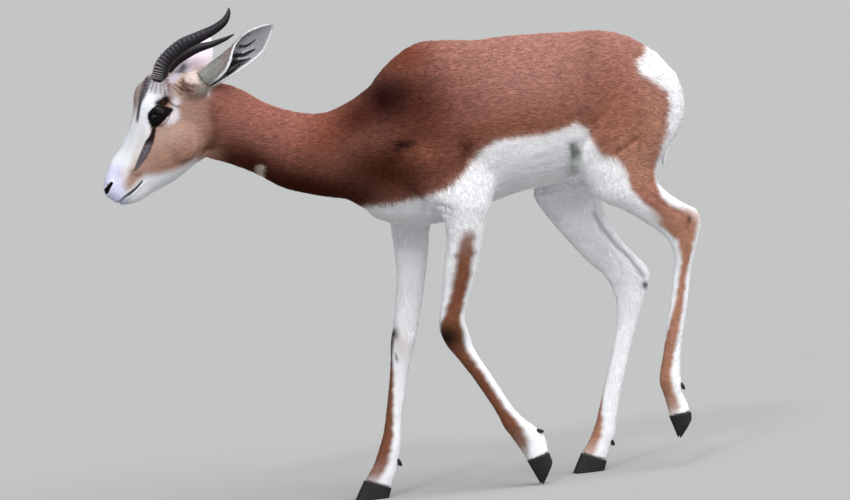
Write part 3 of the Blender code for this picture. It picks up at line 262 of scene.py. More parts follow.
# Ears in the head's frame: root, tip, the way the cup opens, how far the middle bows down,
# and rows of place along the ear, half width, depth of the cup and the ends of both rims
EARS = {
    "left": ((0.014, -0.04, 0.072), (0.1805, -0.078, 0.1735), (0.12, -0.95, -0.25), 0.0085, [
        (0.0, 0.0195, 0.0165, 118, 220), (0.18, 0.0225, 0.0185, 118, 214),
        (0.32, 0.0238, 0.0185, 112, 198), (0.44, 0.025, 0.0185, 102, 166),
        (0.56, 0.0265, 0.0175, 94, 116), (0.76, 0.0262, 0.013, 88, 88),
        (0.86, 0.019, 0.009, 84, 84), (1.0, 0.0036, 0.002, 72, 72),
    ]),
    "right": ((-0.019, 0.038, 0.07), (0.044, 0.165, 0.204), (-0.083, 0.67, -0.728), 0.0, [
        (0.0, 0.0255, 0.0186, 146, 205), (0.18, 0.032, 0.0185, 125, 180),
        (0.32, 0.0345, 0.0175, 105, 140), (0.46, 0.0345, 0.016, 96, 104),
        (0.62, 0.0315, 0.014, 90, 92), (0.76, 0.025, 0.0105, 86, 86),
        (0.88, 0.0165, 0.007, 82, 82), (1.0, 0.0026, 0.0014, 72, 72),
    ]),
}
# Dark slits between the hairs of the cup: path as (round the cup, along it) and half width as
# a share of the ear's length; the last two are locks of pale hair
EAR_SLITS = [
    ([(0.4, 0.585), (0.48, 0.63), (0.5, 0.69), (0.49, 0.77)], 0.021),
    ([(0.56, 0.455), (0.63, 0.56), (0.69, 0.69)], 0.04),
    ([(0.66, 0.36), (0.72, 0.46), (0.82, 0.59)], 0.044),
    ([(0.84, 0.3), (0.81, 0.46), (0.87, 0.56)], 0.022),
    ([(0.86, 0.08), (0.8, 0.19), (0.75, 0.32), (0.68, 0.4)], 0.032),
]
EAR_BACK = {"left": (0.29, 0.28, 0.27), "right": (0.72, 0.62, 0.69)}
# Soft marks on the back of the far ear, as in TONES; the dark bluish one is a painted shadow of the horn
FAR_EAR_MARKS = [
    ((0.0264, 0.115), (0.02, 0.01), -10, (0.4, 0.24, 0.19), 0.7),
    # painted shadow cast by the horn
    ((-0.015, 0.12), (0.008, 0.016), -20, (0.09, 0.08, 0.13), 0.85),
    ((0.006, 0.098), (0.026, 0.004), -12, (0.3, 0.16, 0.1), 0.7),
    ((0.012, 0.086), (0.018, 0.009), -12, CREAM, 0.8),
]
CUP_SHARE = 0.38        # way round the cup as a share of the ear's length
EAR_LOCKS = [([(0.66, 0.49), (0.76, 0.6)], 0.006), ([(0.58, 0.57), (0.61, 0.7)], 0.006)]

# Groove beside the tendon above the right hock
TENDON_GROOVE = [(0.391, 0.554), (0.408, 0.518), (0.436, 0.479), (0.463, 0.447), (0.486, 0.409)]
# Creases and swellings of the body: path in the side view, half width, height, sides
FORMS = [
    ([(-0.06, 0.752), (-0.042, 0.748), (-0.028, 0.736)], 0.007, -0.0045, ("left",)),
    ([(-0.03, 0.73), (0.002, 0.716)], 0.022, 0.0065, ("left", "right")),
    ([(0.066, 0.745), (0.084, 0.724), (0.094, 0.698)], 0.011, -0.004, ("left", "right")),
    ([(0.392, 0.91), (0.38, 0.87), (0.366, 0.83), (0.347, 0.78)], 0.03, -0.006, ("left", "right")),
    ([(0.318, 0.712), (0.322, 0.69), (0.324, 0.664)], 0.0095, -0.0065, ("left",)),
    ([(0.46, 0.715), (0.438, 0.697), (0.412, 0.688)], 0.008, -0.0045, ("left", "right")),
    ([(0.405, 0.735), (0.412, 0.715)], 0.026, 0.003, ("left", "right")),
    ([(0.5, 0.86), (0.52, 0.79), (0.51, 0.71)], 0.02, -0.002, ("left", "right")),
    ([(0.011, 0.621), (0.027, 0.615), (0.043, 0.606)], 0.006, -0.0032, ("left",)),
    ([(-0.005, 0.606), (0.015, 0.6), (0.035, 0.594)], 0.0045, -0.003, ("left",)),
    ([(0.342, 0.68), (0.356, 0.69), (0.372, 0.688)], 0.007, -0.001, ("left",)),
    ([(0.35, 0.66), (0.366, 0.668), (0.386, 0.664)], 0.007, -0.001, ("left",)),
    ([(0.462, 0.598), (0.505, 0.562), (0.548, 0.532)], 0.007, -0.003, ("left",)),
    (TENDON_GROOVE, 0.0075, -0.0036, ("inner_right",)),
]

# Horns in the head's frame: x, y, z and radius from root to tip
HORNS = {
    "left": [
        (-0.068, -0.022, 0.086, 0.0165), (-0.062, -0.0245, 0.103, 0.0168),
        (-0.055, -0.028, 0.12, 0.016), (-0.036, -0.034, 0.1385, 0.0154),
        (-0.0085, -0.04, 0.156, 0.0148), (0.0225, -0.045, 0.1675, 0.0125),
        (0.058, -0.048, 0.1805, 0.0104), (0.082, -0.048, 0.1955, 0.0082),
        (0.093, -0.046, 0.2125, 0.005), (0.095, -0.044, 0.224, 0.0016),
    ],
    "right": [
        (-0.068, 0.022, 0.086, 0.0165), (-0.062, 0.0245, 0.101, 0.0168),
        (-0.052, 0.028, 0.117, 0.016), (-0.032, 0.034, 0.135, 0.015),
        (-0.006, 0.04, 0.148, 0.0128), (0.021, 0.045, 0.157, 0.0098),
        (0.052, 0.049, 0.163, 0.007), (0.08, 0.05, 0.171, 0.0046),
        (0.093, 0.05, 0.176, 0.0028), (0.101, 0.05, 0.1795, 0.0012),
    ],
}
# Horn colours: the dark keratin, a painted highlight for the ring crests, and pale bands near the root that
# are partly wear and partly painted light
HORN_DARK = (0.023, 0.018, 0.026)
HORN_HIGHLIGHT = (0.095, 0.085, 0.098)
HORN_WORN_AND_LIT = (0.56, 0.5, 0.48)
HORN_RINGS = 19
HORN_RINGED = (0.02, 0.66)
HORN_CROWDING = 0.7        # below 1 the rings stand closer at the root
HORN_RIDGE = 0.13
HORN_FLATTEN = 0.86
RING_RISE = 0.62        # share of a ring that climbs; the rest falls


# Numbers on meshes

def read(items, name, width, kind=float):
    values = np.empty(len(items) * width, kind)
    items.foreach_get(name, values)
    return values.reshape(-1, width)


def coordinates(mesh):
    return read(mesh.vertices, "co", 3)


def normals_of(mesh):
    return read(mesh.vertex_normals, "vector", 3)


def edges_of(mesh):
    return read(mesh.edges, "vertices", 2, np.int32)


def triangles_of(mesh):
    mesh.calc_loop_triangles()
    return read(mesh.loop_triangles, "vertices", 3, np.int32)


def move_points(mesh, points):
    mesh.vertices.foreach_set("co", np.asarray(points, float).ravel())
    mesh.update()


def neighbour_mean(values, edges, count):
    degree = np.maximum(np.bincount(edges.ravel(), minlength=count), 1)
    total = np.empty_like(values)
    for k in range(values.shape[1]):
        ahead = np.bincount(edges[:, 0], values[edges[:, 1], k], count)
        total[:, k] = ahead + np.bincount(edges[:, 1], values[edges[:, 0], k], count)
    return total / degree[:, None]


def relax(mesh, rounds, weight=None):
    """Taubin smoothing: rounds the facets off without thinning the limbs."""
    points, edges = coordinates(mesh), edges_of(mesh)
    share = 1.0 if weight is None else weight[:, None]
    for _ in range(rounds):
        for step in (0.55, -0.57):
            points = points + step * share * (neighbour_mean(points, edges, len(points)) - points)
    move_points(mesh, points)


def spread(values, edges, rounds):
    """Values averaged with their neighbours', round after round."""
    for _ in range(rounds):
        values = 0.5 * values + 0.5 * neighbour_mean(values, edges, len(values))
    return values


def step_up(low, high, value):
    t = np.clip((value - low) / (high - low), 0, 1)
    return t * t * (3 - 2 * t)


def unit(vectors):
    return vectors / np.maximum(np.linalg.norm(vectors, axis=1, keepdims=True), 1e-9)


def to_head(points):
    inverse = np.array(HEAD.inverted())
    return points @ inverse[:3, :3].T + inverse[:3, 3]


def from_head(points):
    forward = np.array(HEAD)
    return points @ forward[:3, :3].T + forward[:3, 3]


def bend(a, b, c, d, t):
    """A smooth way from b to c, led by a and d."""
    square, cube = 2 * a - 5 * b + 4 * c - d, 3 * b - a - 3 * c + d
    return 0.5 * (2 * b + (c - a) * t + square * t * t + cube * t ** 3)


def normals_in_head(normals):
    return normals @ np.array(HEAD.inverted())[:3, :3].T


def closed_curve(corners, steps=4):
    """A smooth closed line through corners."""
    ring = np.array(corners, float)
    count = len(ring)
    points = []
    for i in range(count):
        corner = [ring[(i + k) % count] for k in (-1, 0, 1, 2)]
        points += [bend(*corner, k / steps) for k in range(steps)]
    return points


def to_line(x, z, path, closed=False):
    """Distance to a line of points in a side view, and the place along it from 0 to 1."""
    best = np.full(x.shape, 1e9)
    place = np.zeros(x.shape)
    count = len(path) - (0 if closed else 1)
    for i in range(count):
        (ax, az), (bx, bz) = path[i], path[(i + 1) % len(path)]
        length = max((bx - ax) ** 2 + (bz - az) ** 2, 1e-12)
        t = np.clip(((x - ax) * (bx - ax) + (z - az) * (bz - az)) / length, 0, 1)
        gap = np.hypot(x - ax - t * (bx - ax), z - az - t * (bz - az))
        nearer = gap < best
        best = np.where(nearer, gap, best)
        place = np.where(nearer, i + t, place)
    return best, place / count


def outside(x, z, outline):
    """Distance outside a closed outline in a side view, negative inside it."""
    best, _ = to_line(x, z, outline, closed=True)
    within = np.zeros(x.shape, bool)
    for i in range(len(outline)):
        (ax, az), (bx, bz) = outline[i], outline[(i + 1) % len(outline)]
        if az == bz:
            continue
        crosses = ((az > z) != (bz > z)) & (x < (bx - ax) * (z - az) / (bz - az) + ax)
        within ^= crosses
    return np.where(within, -best, best)


# Objects

def new_object(name, mesh):
    item = bpy.data.objects.new(name, mesh)
    bpy.context.scene.collection.objects.link(item)
    return item


def bake(item):
    depsgraph = bpy.context.evaluated_depsgraph_get()
    mesh = bpy.data.meshes.new_from_object(item.evaluated_get(depsgraph))
    item.modifiers.clear()
    item.data = mesh
    return item


def put_back(shape, mesh):
    shape.to_mesh(mesh)
    shape.free()
    return mesh


def gathered(nodes, name):
    """One object holding copies of CAD nodes' meshes."""
    shape = bmesh.new()
    for node in nodes:
        shape.from_mesh(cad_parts[node].data)
    return new_object(name, put_back(shape, bpy.data.meshes.new(name)))


def clothed(mesh, made):
    """Give a mesh one material and smooth shading."""
    mesh.materials.clear()
    mesh.materials.append(made)
    mesh.shade_smooth()


def remeshed(item, grain):
    step = item.modifiers.new("Grain", "REMESH")
    step.mode = "VOXEL"
    step.voxel_size = grain
    return bake(item)


def refined(item, chosen):
    """Halve the faces whose corners are all chosen."""
    shape = bmesh.new()
    shape.from_mesh(item.data)
    picked = [edge for edge in shape.edges if all(chosen[v.index] for v in edge.verts)]
    bmesh.ops.subdivide_edges(shape, edges=picked, cuts=1, use_grid_fill=True)
    ngons = [face for face in shape.faces if len(face.verts) > 4]
    bmesh.ops.triangulate(shape, faces=ngons)
    put_back(shape, item.data)


# The skin

def nearest_nodes(points, nodes):
    """Which CAD node each point lies on."""
    owners = []
    for k, node in enumerate(nodes):
        owners += [(co, k) for co in coordinates(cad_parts[node].data)]
    tree = KDTree(len(owners))
    for i, (co, _) in enumerate(owners):
        tree.insert(co, i)
    tree.balance()
    return np.array([owners[tree.find(p)[1]][1] for p in points])


def coat_row(node):
    for part in ("upper", "lower", "ear"):
        if part in node:
            return COAT[part]
    return COAT[node]


def press_forms(points, normals):
    """Creases and swellings of the body."""
    x, y, z = (points - np.array(SHIFT)).T
    change = np.zeros(len(points))
    for path, width, height, sides in FORMS:
        for side in sides:
            gap, place = to_line(x, z, path)
            ends = step_up(0.0, 0.25, place) * step_up(0.0, 0.25, 1 - place)
            if side == "inner_right":
                faces_out = (y > 0.0) & (normals[:, 1] < -0.1)
            else:
                faces_out = (y * SIDES[side] > 0.02) & (normals[:, 1] * SIDES[side] > 0.1)
            change += height * ridge_at(gap, width) * (0.4 + 0.6 * ends) * faces_out
    return points + normals * change[:, None]


def carve_face(mesh):
    """Lids, folds, tear groove, nostrils and mouth."""
    local = to_head(coordinates(mesh))
    normals = normals_in_head(normals_of(mesh))
    x, y, z = local.T
    face = np.flatnonzero((x < 0.0) & (x > -0.25) & (np.abs(y) < 0.08) & (z > -0.2) & (z < 0.13))
    p, n = local[face], normals[face]
    x, y, z = p.T
    crown = np.hypot(x - CROWN_CORNER[0], z - CROWN_CORNER[1]) / CROWN_REACH
    p = p - n * (CROWN_PRESS * np.exp(-crown ** 2) * step_up(0.036, 0.02, np.abs(y)))[:, None]
    x, y, z = p.T
    gap, place = to_line(x, z, MOUTH)
    fade = step_up(0.0, 0.1, place)
    change = 0.0012 * ridge_at(gap - 0.0048, 0.0026) - 0.0042 * ridge_at(gap, 0.0015)
    p = p + n * (change * fade)[:, None]
    gap, place = to_line(x, z, TEAR)
    on_side = np.abs(y) > EYE.y / 2
    groove = 0.0024 * ridge_at(gap, 0.0024) * (1 - step_up(0.7, 1.0, place)) * on_side
    rim = 0.0008 * np.exp(-((gap - 0.005) / 0.0024) ** 2) * (1 - step_up(0.6, 1.0, place)) * on_side
    p = p + n * (rim - groove)[:, None]
    opening = closed_curve(LID_OPENING)
    for side in SIDES.values():
        start, end = (np.array((q[0], side * q[1], q[2])) for q in NOSTRIL)
        run = end - start
        t = np.clip((p - start) @ run / (run @ run), 0, 1)
        gap = np.linalg.norm(p - start - t[:, None] * run, axis=1)
        radius = NOSTRIL_RADIUS * (0.55 + 0.45 * t)
        hollow = 0.0085 * (1 - step_up(0.45, 1.0, gap / radius))
        swell = 0.0014 * np.exp(-((gap - 1.5 * radius) / (0.5 * radius)) ** 2)
        p = p + n * (swell - hollow)[:, None]
    for side in SIDES.values():
        centre = np.array((EYE.x, side * EYE.y, EYE.z))
        way = p - centre
        reach = np.linalg.norm(way, axis=1)
        near = (way[:, 1] * side > 0.001) & (reach < 0.048)
        edge = outside(p[:, 0], p[:, 2], opening)
        wall = EYE_RADIUS + 0.0012 + 0.0022 * step_up(0.0, 0.004, edge)
        aim = np.where(edge > 0, wall, EYE_RADIUS - 0.0045)
        pull = (1 - step_up(0.0035, 0.013, edge)) * near
        fold = 0.0009 * ridge_at(edge - 0.012, 0.003) - 0.0016 * ridge_at(edge - 0.0085, 0.0016)
        moved = centre + way * (1 + pull * (aim / np.maximum(reach, 1e-6) - 1))[:, None]
        moved = moved + way / np.maximum(reach, 1e-6)[:, None] * (fold * near)[:, None]
        p = np.where(near[:, None], moved, p)
    local[face] = p
    move_points(mesh, from_head(local))


def build_ears():
    """Both ears at a fine grain, with smooth walls."""
    ears = []
    for side in SIDES:
        ear = remeshed(gathered([f"ear_{side}"], f"ear_{side}_fine"), EAR_GRAIN)
        relax(ear.data, EAR_ROUNDS)
        ears.append(ear)
    return ears


def build_skin():
    skin = remeshed(gathered(FLESH + ["eye_left", "eye_right"], "skin"), SKIN_GRAIN)
    points = coordinates(skin.data)
    relax(skin.data, SKIN_ROUNDS)
    behind_head = step_up(-0.42, -0.3, points[:, 0] - SHIFT.x)
    off_tail = nearest_nodes(points, FLESH) != FLESH.index("tail")
    relax(skin.data, BODY_ROUNDS, behind_head * step_up(0.5, 0.62, points[:, 2]) * off_tail)
    points, edges = coordinates(skin.data), edges_of(skin.data)
    owner = nearest_nodes(points, FLESH)
    depth = np.array([coat_row(node)[0] for node in FLESH])[owner][:, None]
    normals = normals_of(skin.data)
    move_points(skin.data, points - normals * spread(depth, edges, 12))
    points = press_forms(coordinates(skin.data), normals_of(skin.data))
    move_points(skin.data, points)
    relax(skin.data, 2)
    local = to_head(coordinates(skin.data))
    refined(skin, (local[:, 0] < 0.03) & (local[:, 0] > -0.3) & (local[:, 2] < 0.14))
    local = to_head(coordinates(skin.data))
    x, y, z = local.T
    relax(skin.data, 3, ((x < 0.03) & (z < 0.14) & (x > -0.3)).astype(float))
    eye_zone = np.hypot(x - EYE.x, z - EYE.z) < 0.042
    muzzle = (x < -0.085) & (z < -0.005)
    refined(skin, (eye_zone & (np.abs(y) > 0.015) & (np.abs(y) < 0.08)) | (muzzle & (np.abs(y) < 0.08)))
    skin.data.update()
    carve_face(skin.data)
    for ear in build_ears():
        step = skin.modifiers.new("Ear", "BOOLEAN")
        step.operation = "UNION"
        step.solver = "MANIFOLD"
        step.object = ear
        bake(skin)
        bpy.data.objects.remove(ear, do_unlink=True)
    points = coordinates(skin.data)
    near_head = (to_head(points)[:, 0] > -0.06) & (to_head(points)[:, 0] < 0.07) & (points[:, 2] > 0.85)
    seam = np.zeros(len(points))
    seam[near_head] = nearest_nodes(points[near_head], ["head", "ear_left", "ear_right"]) > 0
    seam = spread(seam[:, None], edges_of(skin.data), 10)[:, 0]
    seam = step_up(0.06, 0.3, seam) * step_up(0.94, 0.7, seam) * near_head
    relax(skin.data, SEAM_ROUNDS, seam)
    return skin


# Markings

def lay(colours, colour, share):
    """Lay a colour over others, in place, by a share from 0 to 1 at each point."""
    colours += (np.array(colour) - colours) * np.clip(share, 0, 1)[:, None]


def plain(colour, count):
    return np.tile(colour, (count, 1)).astype(float)


def ridge_at(gap, width):
    """1 on a line and fading away from it."""
    return np.exp(-(gap / width) ** 2)


def limb_line(side, leg):
    """A leg's middle and half sizes by height, read from its solids."""
    points = np.concatenate([
        coordinates(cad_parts[f"{leg}_{part}_{side}"].data) for part in ("upper", "lower")
    ])
    levels = np.arange(0.02, 0.66, 0.008)
    rows = []
    for level in levels:
        ring = points[np.abs(points[:, 2] - level) < 0.014]
        if len(ring) > 5:
            low, high = ring.min(axis=0), ring.max(axis=0)
            rows.append((level, *(low[:2] + high[:2]) / 2, *(high[:2] - low[:2]) / 2))
    return np.array(rows).T


# Stripe down each leg: height, middle and half width of its angle round the leg in
# degrees (0 is the front, 90 the outer side), and strength
LEG_STRIPES = {
    "fore": [
        (0.63, 92, 18, 0.0), (0.6, 92, 13, 0.22), (0.568, 90, 16, 0.3), (0.54, 90, 25, 0.9),
        (0.493, 90, 29, 1.0), (0.453, 89, 31, 1.0), (0.412, 87, 35, 1.0), (0.38, 82, 40, 1.0),
        (0.352, 62, 60, 1.0), (0.3, 30, 74, 1.0), (0.26, 21, 79, 1.0), (0.2, 8, 86, 1.0),
        (0.13, -2, 92, 1.0), (0.09, -8, 84, 0.9), (0.062, -8, 56, 0.3), (0.045, 0, 40, 0.0),
    ],
    "hind": [
        (0.565, 112, 30, 0.0), (0.545, 108, 40, 0.7), (0.52, 98, 46, 1.0), (0.49, 96, 36, 1.0),
        (0.44, 86, 28, 1.0), (0.42, 87, 23, 1.0), (0.35, 85, 28, 1.0), (0.3, 68, 40, 1.0),
        (0.25, 45, 52, 1.0),
        (0.2, 16, 68, 1.0), (0.16, 6, 84, 1.0), (0.13, 6, 84, 0.8), (0.105, 6, 60, 0.0),
    ],
}
# Height the stripe is read above its place, for legs that stand lower
STRIPE_DROP = {"fore_left": 0.0, "fore_right": 0.035, "hind_left": 0.0, "hind_right": 0.085}
JOINT_DARK = (0.028, 0.01, 0.006)
GROOVE_SHADE_GREY = (0.34, 0.325, 0.4)
# Marks of single legs in the side view: leg, middle or path, size, turn, colour, strength
LEG_SPOTS = [
    ("fore_left", (0.016, 0.338), (0.03, 0.026), -20, JOINT_DARK, 0.88),
    ("fore_left", (0.004, 0.334), (0.014, 0.017), -20, BLACK, 0.85),
    ("fore_right", (-0.062, 0.322), (0.014, 0.025), 0, CREAM, 0.55),
    ("fore_right", (-0.074, 0.348), (0.0105, 0.015), 0, JOINT_DARK, 1.0),
    ("fore_right", (-0.0745, 0.295), (0.0026, 0.0085), 8, JOINT_DARK, 0.9),
    ("hind_left", (0.555, 0.527), (0.0055, 0.01), -20, JOINT_DARK, 0.75),
    ("hind_left", (0.576, 0.534), (0.009, 0.012), -20, CREAM, 0.85),
    ("hind_right", (0.49, 0.387), (0.0078, 0.0085), 30, BLACK, 1.0),
]
LEG_LINES = [
    ("fore_right", [(-0.077, 0.335), (-0.0815, 0.315), (-0.086, 0.29), (-0.0915, 0.268)],
     0.0032, JOINT_DARK, 0.9),
    # grey line of painted shade along the groove beside the tendon
    ("hind_right", TENDON_GROOVE, 0.0062, GROOVE_SHADE_GREY, 0.75),
]


def paint_leg(colours, points, leg, side):
    """White with one brown stripe down the front and outer side, and the marks of that leg."""
    level, cx, cy, rx, ry = limb_line(side, leg)
    z = points[:, 2]
    ahead = -(points[:, 0] - np.interp(z, level, cx)) / np.interp(z, level, rx)
    out = SIDES[side] * (points[:, 1] - np.interp(z, level, cy)) / np.interp(z, level, ry)
    angle = np.degrees(np.arctan2(out, ahead))
    rows = np.array(LEG_STRIPES[leg])[::-1].T
    height = z + STRIPE_DROP[f"{leg}_{side}"]
    middle, half, strength = (np.interp(height, rows[0], rows[k]) for k in (1, 2, 3))
    share = 1 - step_up(-17, 17, np.abs(angle - middle) - half)
    lay(colours, STRIPE[leg], share * strength)
    x = points[:, 0] - SHIFT.x
    for name, place, size, turn, colour, strong in LEG_SPOTS:
        if name == f"{leg}_{side}":
            lay(colours, colour, strong * oval(x, z, place, size, turn))
    for name, path, width, colour, strong in LEG_LINES:
        if name == f"{leg}_{side}":
            gap, _ = to_line(x, z, path)
            lay(colours, colour, strong * ridge_at(gap, width))
    return colours


def oval(x, z, middle, size, turn=0):
    """How strongly a soft oval covers each place of a side view."""
    c, s = math.cos(math.radians(turn)), math.sin(math.radians(turn))
    dx, dz = x - middle[0], z - middle[1]
    return np.exp(-(((dx * c + dz * s) / size[0]) ** 2 + ((dz * c - dx * s) / size[1]) ** 2))


def paint_body(points, normals):
    x, y, z = (points - np.array(SHIFT)).T
    right = y > 0
    ahead = np.where(x > 0.2, np.interp(z, *HIND_LAG), np.interp(z, *FORE_LAG))
    x = x + np.where(right, ahead, 0)
    count = len(points)
    colours = plain(WHITE, count)
    brown = plain(CHESTNUT, count)
    # paler pink where the coat faces up: partly coat, partly painted light from above
    crest = step_up(0.3, 0.95, normals[:, 2]) * step_up(0.0, 0.1, x)
    lay(brown, PINK_BROWN, 0.8 * crest)
    for middle, size, turn, colour, strength in TONES:
        lay(brown, colour, strength * oval(x, z, middle, size, turn))
    # darker where the front of the body faces down: partly coat, partly painted shade
    under = step_up(0.1, -0.75, normals[:, 2]) * step_up(-0.06, -0.14, x)
    lay(brown, RUSSET_AND_SHADE, 0.85 * under)
    edge = outside(x, z, BROWN_COAT)
    facing = normals[:, 1] * np.where(right, 1, -1)
    inner = step_up(0.0, -0.35, facing) * step_up(0.7, 0.64, z)
    share = (1 - step_up(-0.007, 0.007, edge)) * (1 - inner)
    colours = colours + (brown - colours) * share[:, None]
    fringe = ridge_at(edge, 0.01) * (1 - inner) * step_up(0.6, 0.64, z)
    lay(colours, PALE_TAN, 0.22 * fringe)
    # painted shade along the creases and hollows
    for path, width, colour, strength in CREASE_SHADE_LINES:
        gap, _ = to_line(x, z, path)
        lay(colours, colour, strength * ridge_at(gap, width) * (facing > 0.1))
    throat = 1 - step_up(-0.003, 0.004, outside(x, z, THROAT_SPOT))
    lay(colours, CREAM, 0.85 * throat)
    return colours


def paint_face(points, normals):
    local = to_head(points)
    x, y, z = local.T
    side_view = np.abs(y)
    on_side = step_up(0.01, 0.018, side_view)
    colours = plain(TAN, len(points))
    lay(colours, NECK_ROSE, step_up(-0.01, 0.06, x))
    lay(colours, PALE_TAN, 0.8 * oval(x, z, (-0.056, -0.02), (0.034, 0.024), 20))
    lay(colours, PALE_TAN, 0.62 * oval(x, z, (-0.08, -0.06), (0.026, 0.04), -25))
    low_cheek = step_up(-0.03, -0.08, z) * step_up(-0.125, -0.07, x)
    lay(colours, LOW_CHEEK, 0.75 * low_cheek)
    gap, _ = to_line(x, z, CHEEK_SHADE)
    behind = ridge_at(gap, 0.012) * on_side
    lay(colours, (0.08, 0.032, 0.012), 0.85 * behind)
    crown = step_up(0.03, 0.06, z) * step_up(-0.1, -0.06, x) * step_up(0.02, -0.03, x)
    lay(colours, CREAM, 0.7 * crown)
    temple = oval(x, z, (-0.012, 0.06), (0.024, 0.018), -25)
    lay(colours, (0.36, 0.215, 0.16), 0.8 * temple * on_side)
    for path in TEMPLE_HAIR:
        gap, _ = to_line(x, z, path)
        lay(colours, (0.052, 0.018, 0.01), 0.82 * ridge_at(gap, 0.0015) * on_side)
    forehead = step_up(-0.09, -0.11, x) * step_up(-0.02, 0.0, z)
    lay(colours, (0.33, 0.29, 0.275), 0.75 * forehead)
    lay(colours, WHITE, 0.9 * forehead * step_up(0.05, 0.005, z))
    soft = 0.0035 + 0.006 * step_up(-0.06, -0.09, z)
    white = 1 - step_up(-1, 1, outside(x, z, WHITE_FACE) / soft)
    lay(colours, FACE_WHITE, white)
    lay(colours, (0.76, 0.715, 0.76), 0.92 - 0.92 * step_up(-0.008, 0.006, outside(x, z, BEHIND_EYE)))
    under = step_up(-0.55, -0.85, normals_in_head(normals)[:, 2]) * step_up(0.02, -0.03, x)
    under = under * step_up(0.026, 0.014, side_view)
    lay(colours, FACE_WHITE, under)
    hair = np.sin(x * 1900 + z * 700) * np.sin(z * 1500 - x * 400)
    for path, width, colour, strength in CROWN_HAIR:
        gap, place = to_line(x, z, path)
        streak = np.exp(-(gap * (1 + 0.4 * hair) / width) ** 2) * (1 - 0.25 * place)
        lay(colours, colour, strength * streak * on_side)
    bridge = step_up(0.02, 0.01, side_view) * step_up(-0.02, 0.02, z) * step_up(-0.07, -0.09, x)
    lay(colours, PALE_TAN, 0.7 * bridge)
    gap, place = to_line(x, z, FOREHEAD_STRIPE)
    wide = 0.0032 + 0.0054 * step_up(0.62, 0.3, place)
    stripe = (1 - step_up(0.4, 1.35, gap * (1 + 0.3 * hair) / wide)) * step_up(1.02, 0.85, place)
    pale = step_up(0.35, 0.85, np.sin(x * 1500 + 560 * z) * np.sin(z * 420 + 1.0)) * step_up(0.6, 0.3, place)
    dark = 0.94 * stripe * (1 - 0.65 * pale) * step_up(0.008, 0.013, side_view)
    lay(colours, SLATE, dark)
    for path, width, strength in BROW:
        gap, place = to_line(x, z, path)
        soft = np.exp(-((gap * (1 + 0.3 * hair)) / width) ** 2)
        lay(colours, (0.016, 0.006, 0.004), strength * np.clip(1.25 * soft, 0, 1))
    gap, place = to_line(x, z, TEAR_CREAM)
    lay(colours, CREAM, (0.35 + 0.35 * place) * ridge_at(gap, 0.0085) * on_side)
    tail = 1 - step_up(-0.004, 0.003, outside(x, z, TEAR_TAIL))
    lay(colours, (0.3, 0.19, 0.15), 0.85 * tail * on_side)
    lay(colours, (0.17, 0.085, 0.07), 0.55 * oval(x, z, (-0.134, -0.104), (0.008, 0.014), 60) * on_side)
    into_tear = outside(x, z, TEAR_DARK)
    tear = 1 - step_up(-0.0026, 0.0014, into_tear)
    waves = np.sin((x - z) * 900 + 2 * np.sin(z * 400)) * np.sin((x + z) * 1300)
    speckle = step_up(-0.2, 0.5, waves)
    speckle = speckle * step_up(-0.001, -0.0035, into_tear)
    deep = step_up(-0.05, -0.036, z)
    lay(colours, (0.034, 0.024, 0.03), 0.94 * tear * on_side)
    lay(colours, (0.27, 0.255, 0.3), 0.85 * tear * on_side * speckle * (1 - deep))
    lay(colours, (0.022, 0.01, 0.01), 0.95 * tear * deep * on_side)
    lay(colours, BLACK, (1 - step_up(0.0004, 0.0024, outside(x, z, closed_curve(DARK_EYE)))) * on_side)
    lay(colours, (0.48, 0.37, 0.33), 0.7 * oval(x, z, (-0.158, -0.118), (0.011, 0.018), -30) * on_side)
    smudge = oval(x, z, (-0.17, -0.1), (0.01, 0.012))
    lay(colours, PALE_TAN, 0.45 * smudge * on_side)
    gap, place = to_line(x, z, MOUTH)
    line = (1 - step_up(0.6, 1.6, gap / (0.0011 + 0.003 * place))) * step_up(0.0, 0.05, place)
    lay(colours, (0.014, 0.013, 0.015), 0.95 * line)
    lips = np.exp(-((gap - 0.005) / 0.004) ** 2) * step_up(0.3, 0.8, place)
    lay(colours, (0.44, 0.47, 0.56), 0.4 * lips)
    front = step_up(-0.15, -0.178, x) * step_up(-0.066, -0.09, z)
    lay(colours, (0.6, 0.6, 0.84), 0.7 * front)
    # greyer low on the chin: painted shade under the jaw
    chin_shade = step_up(-0.15, -0.165, z) * step_up(-0.14, -0.16, x)
    lay(colours, GREY, 0.3 * chin_shade)
    lobe = (1 - step_up(-0.002, 0.003, outside(x, z, FAR_LOBE)))
    lay(colours, (0.54, 0.48, 0.58), 0.9 * lobe)
    pad = outside(x, z, EAR_PAD)
    lay(colours, (0.78, 0.64, 0.59), 0.92 * (1 - step_up(-0.002, 0.003, pad)))
    pad_edge = ridge_at(pad, 0.0028) * step_up(0.094, 0.084, z) * step_up(0.014, 0.004, x)
    lay(colours, (0.17, 0.075, 0.04), 0.8 * pad_edge)
    # painted greenish shade under the near ear
    under_ear_shade = oval(x, z, *EAR_FOOT) * (y < 0)
    lay(colours, (0.33, 0.345, 0.3), 0.9 * under_ear_shade)
    gap, _ = to_line(x, z, EAR_FOOT_EDGE)
    lay(colours, WHITE, 0.85 * ridge_at(gap, 0.0026) * (y < 0))
    # nostrils painted black: painted shade inside their hollows
    for side in SIDES.values():
        gap, t = to_line(x, z, NOSTRIL_SIDE_VIEW)
        radius = NOSTRIL_RADIUS * (0.55 + 0.45 * t)
        hollow = 1 - step_up(0.85, 1.2, gap / radius)
        lay(colours, BLACK, hollow * step_up(0.006, 0.009, y * side))
    return colours


def ear_axes(side):
    root, tip, opening, _, _ = EARS[side]
    run = np.array(tip) - np.array(root)
    axis = run / np.linalg.norm(run)
    opening = np.array(opening) - axis * (np.array(opening) @ axis)
    opening = opening / np.linalg.norm(opening)
    return np.array(root), run, axis, opening, np.cross(axis, opening) * -SIDES[side]


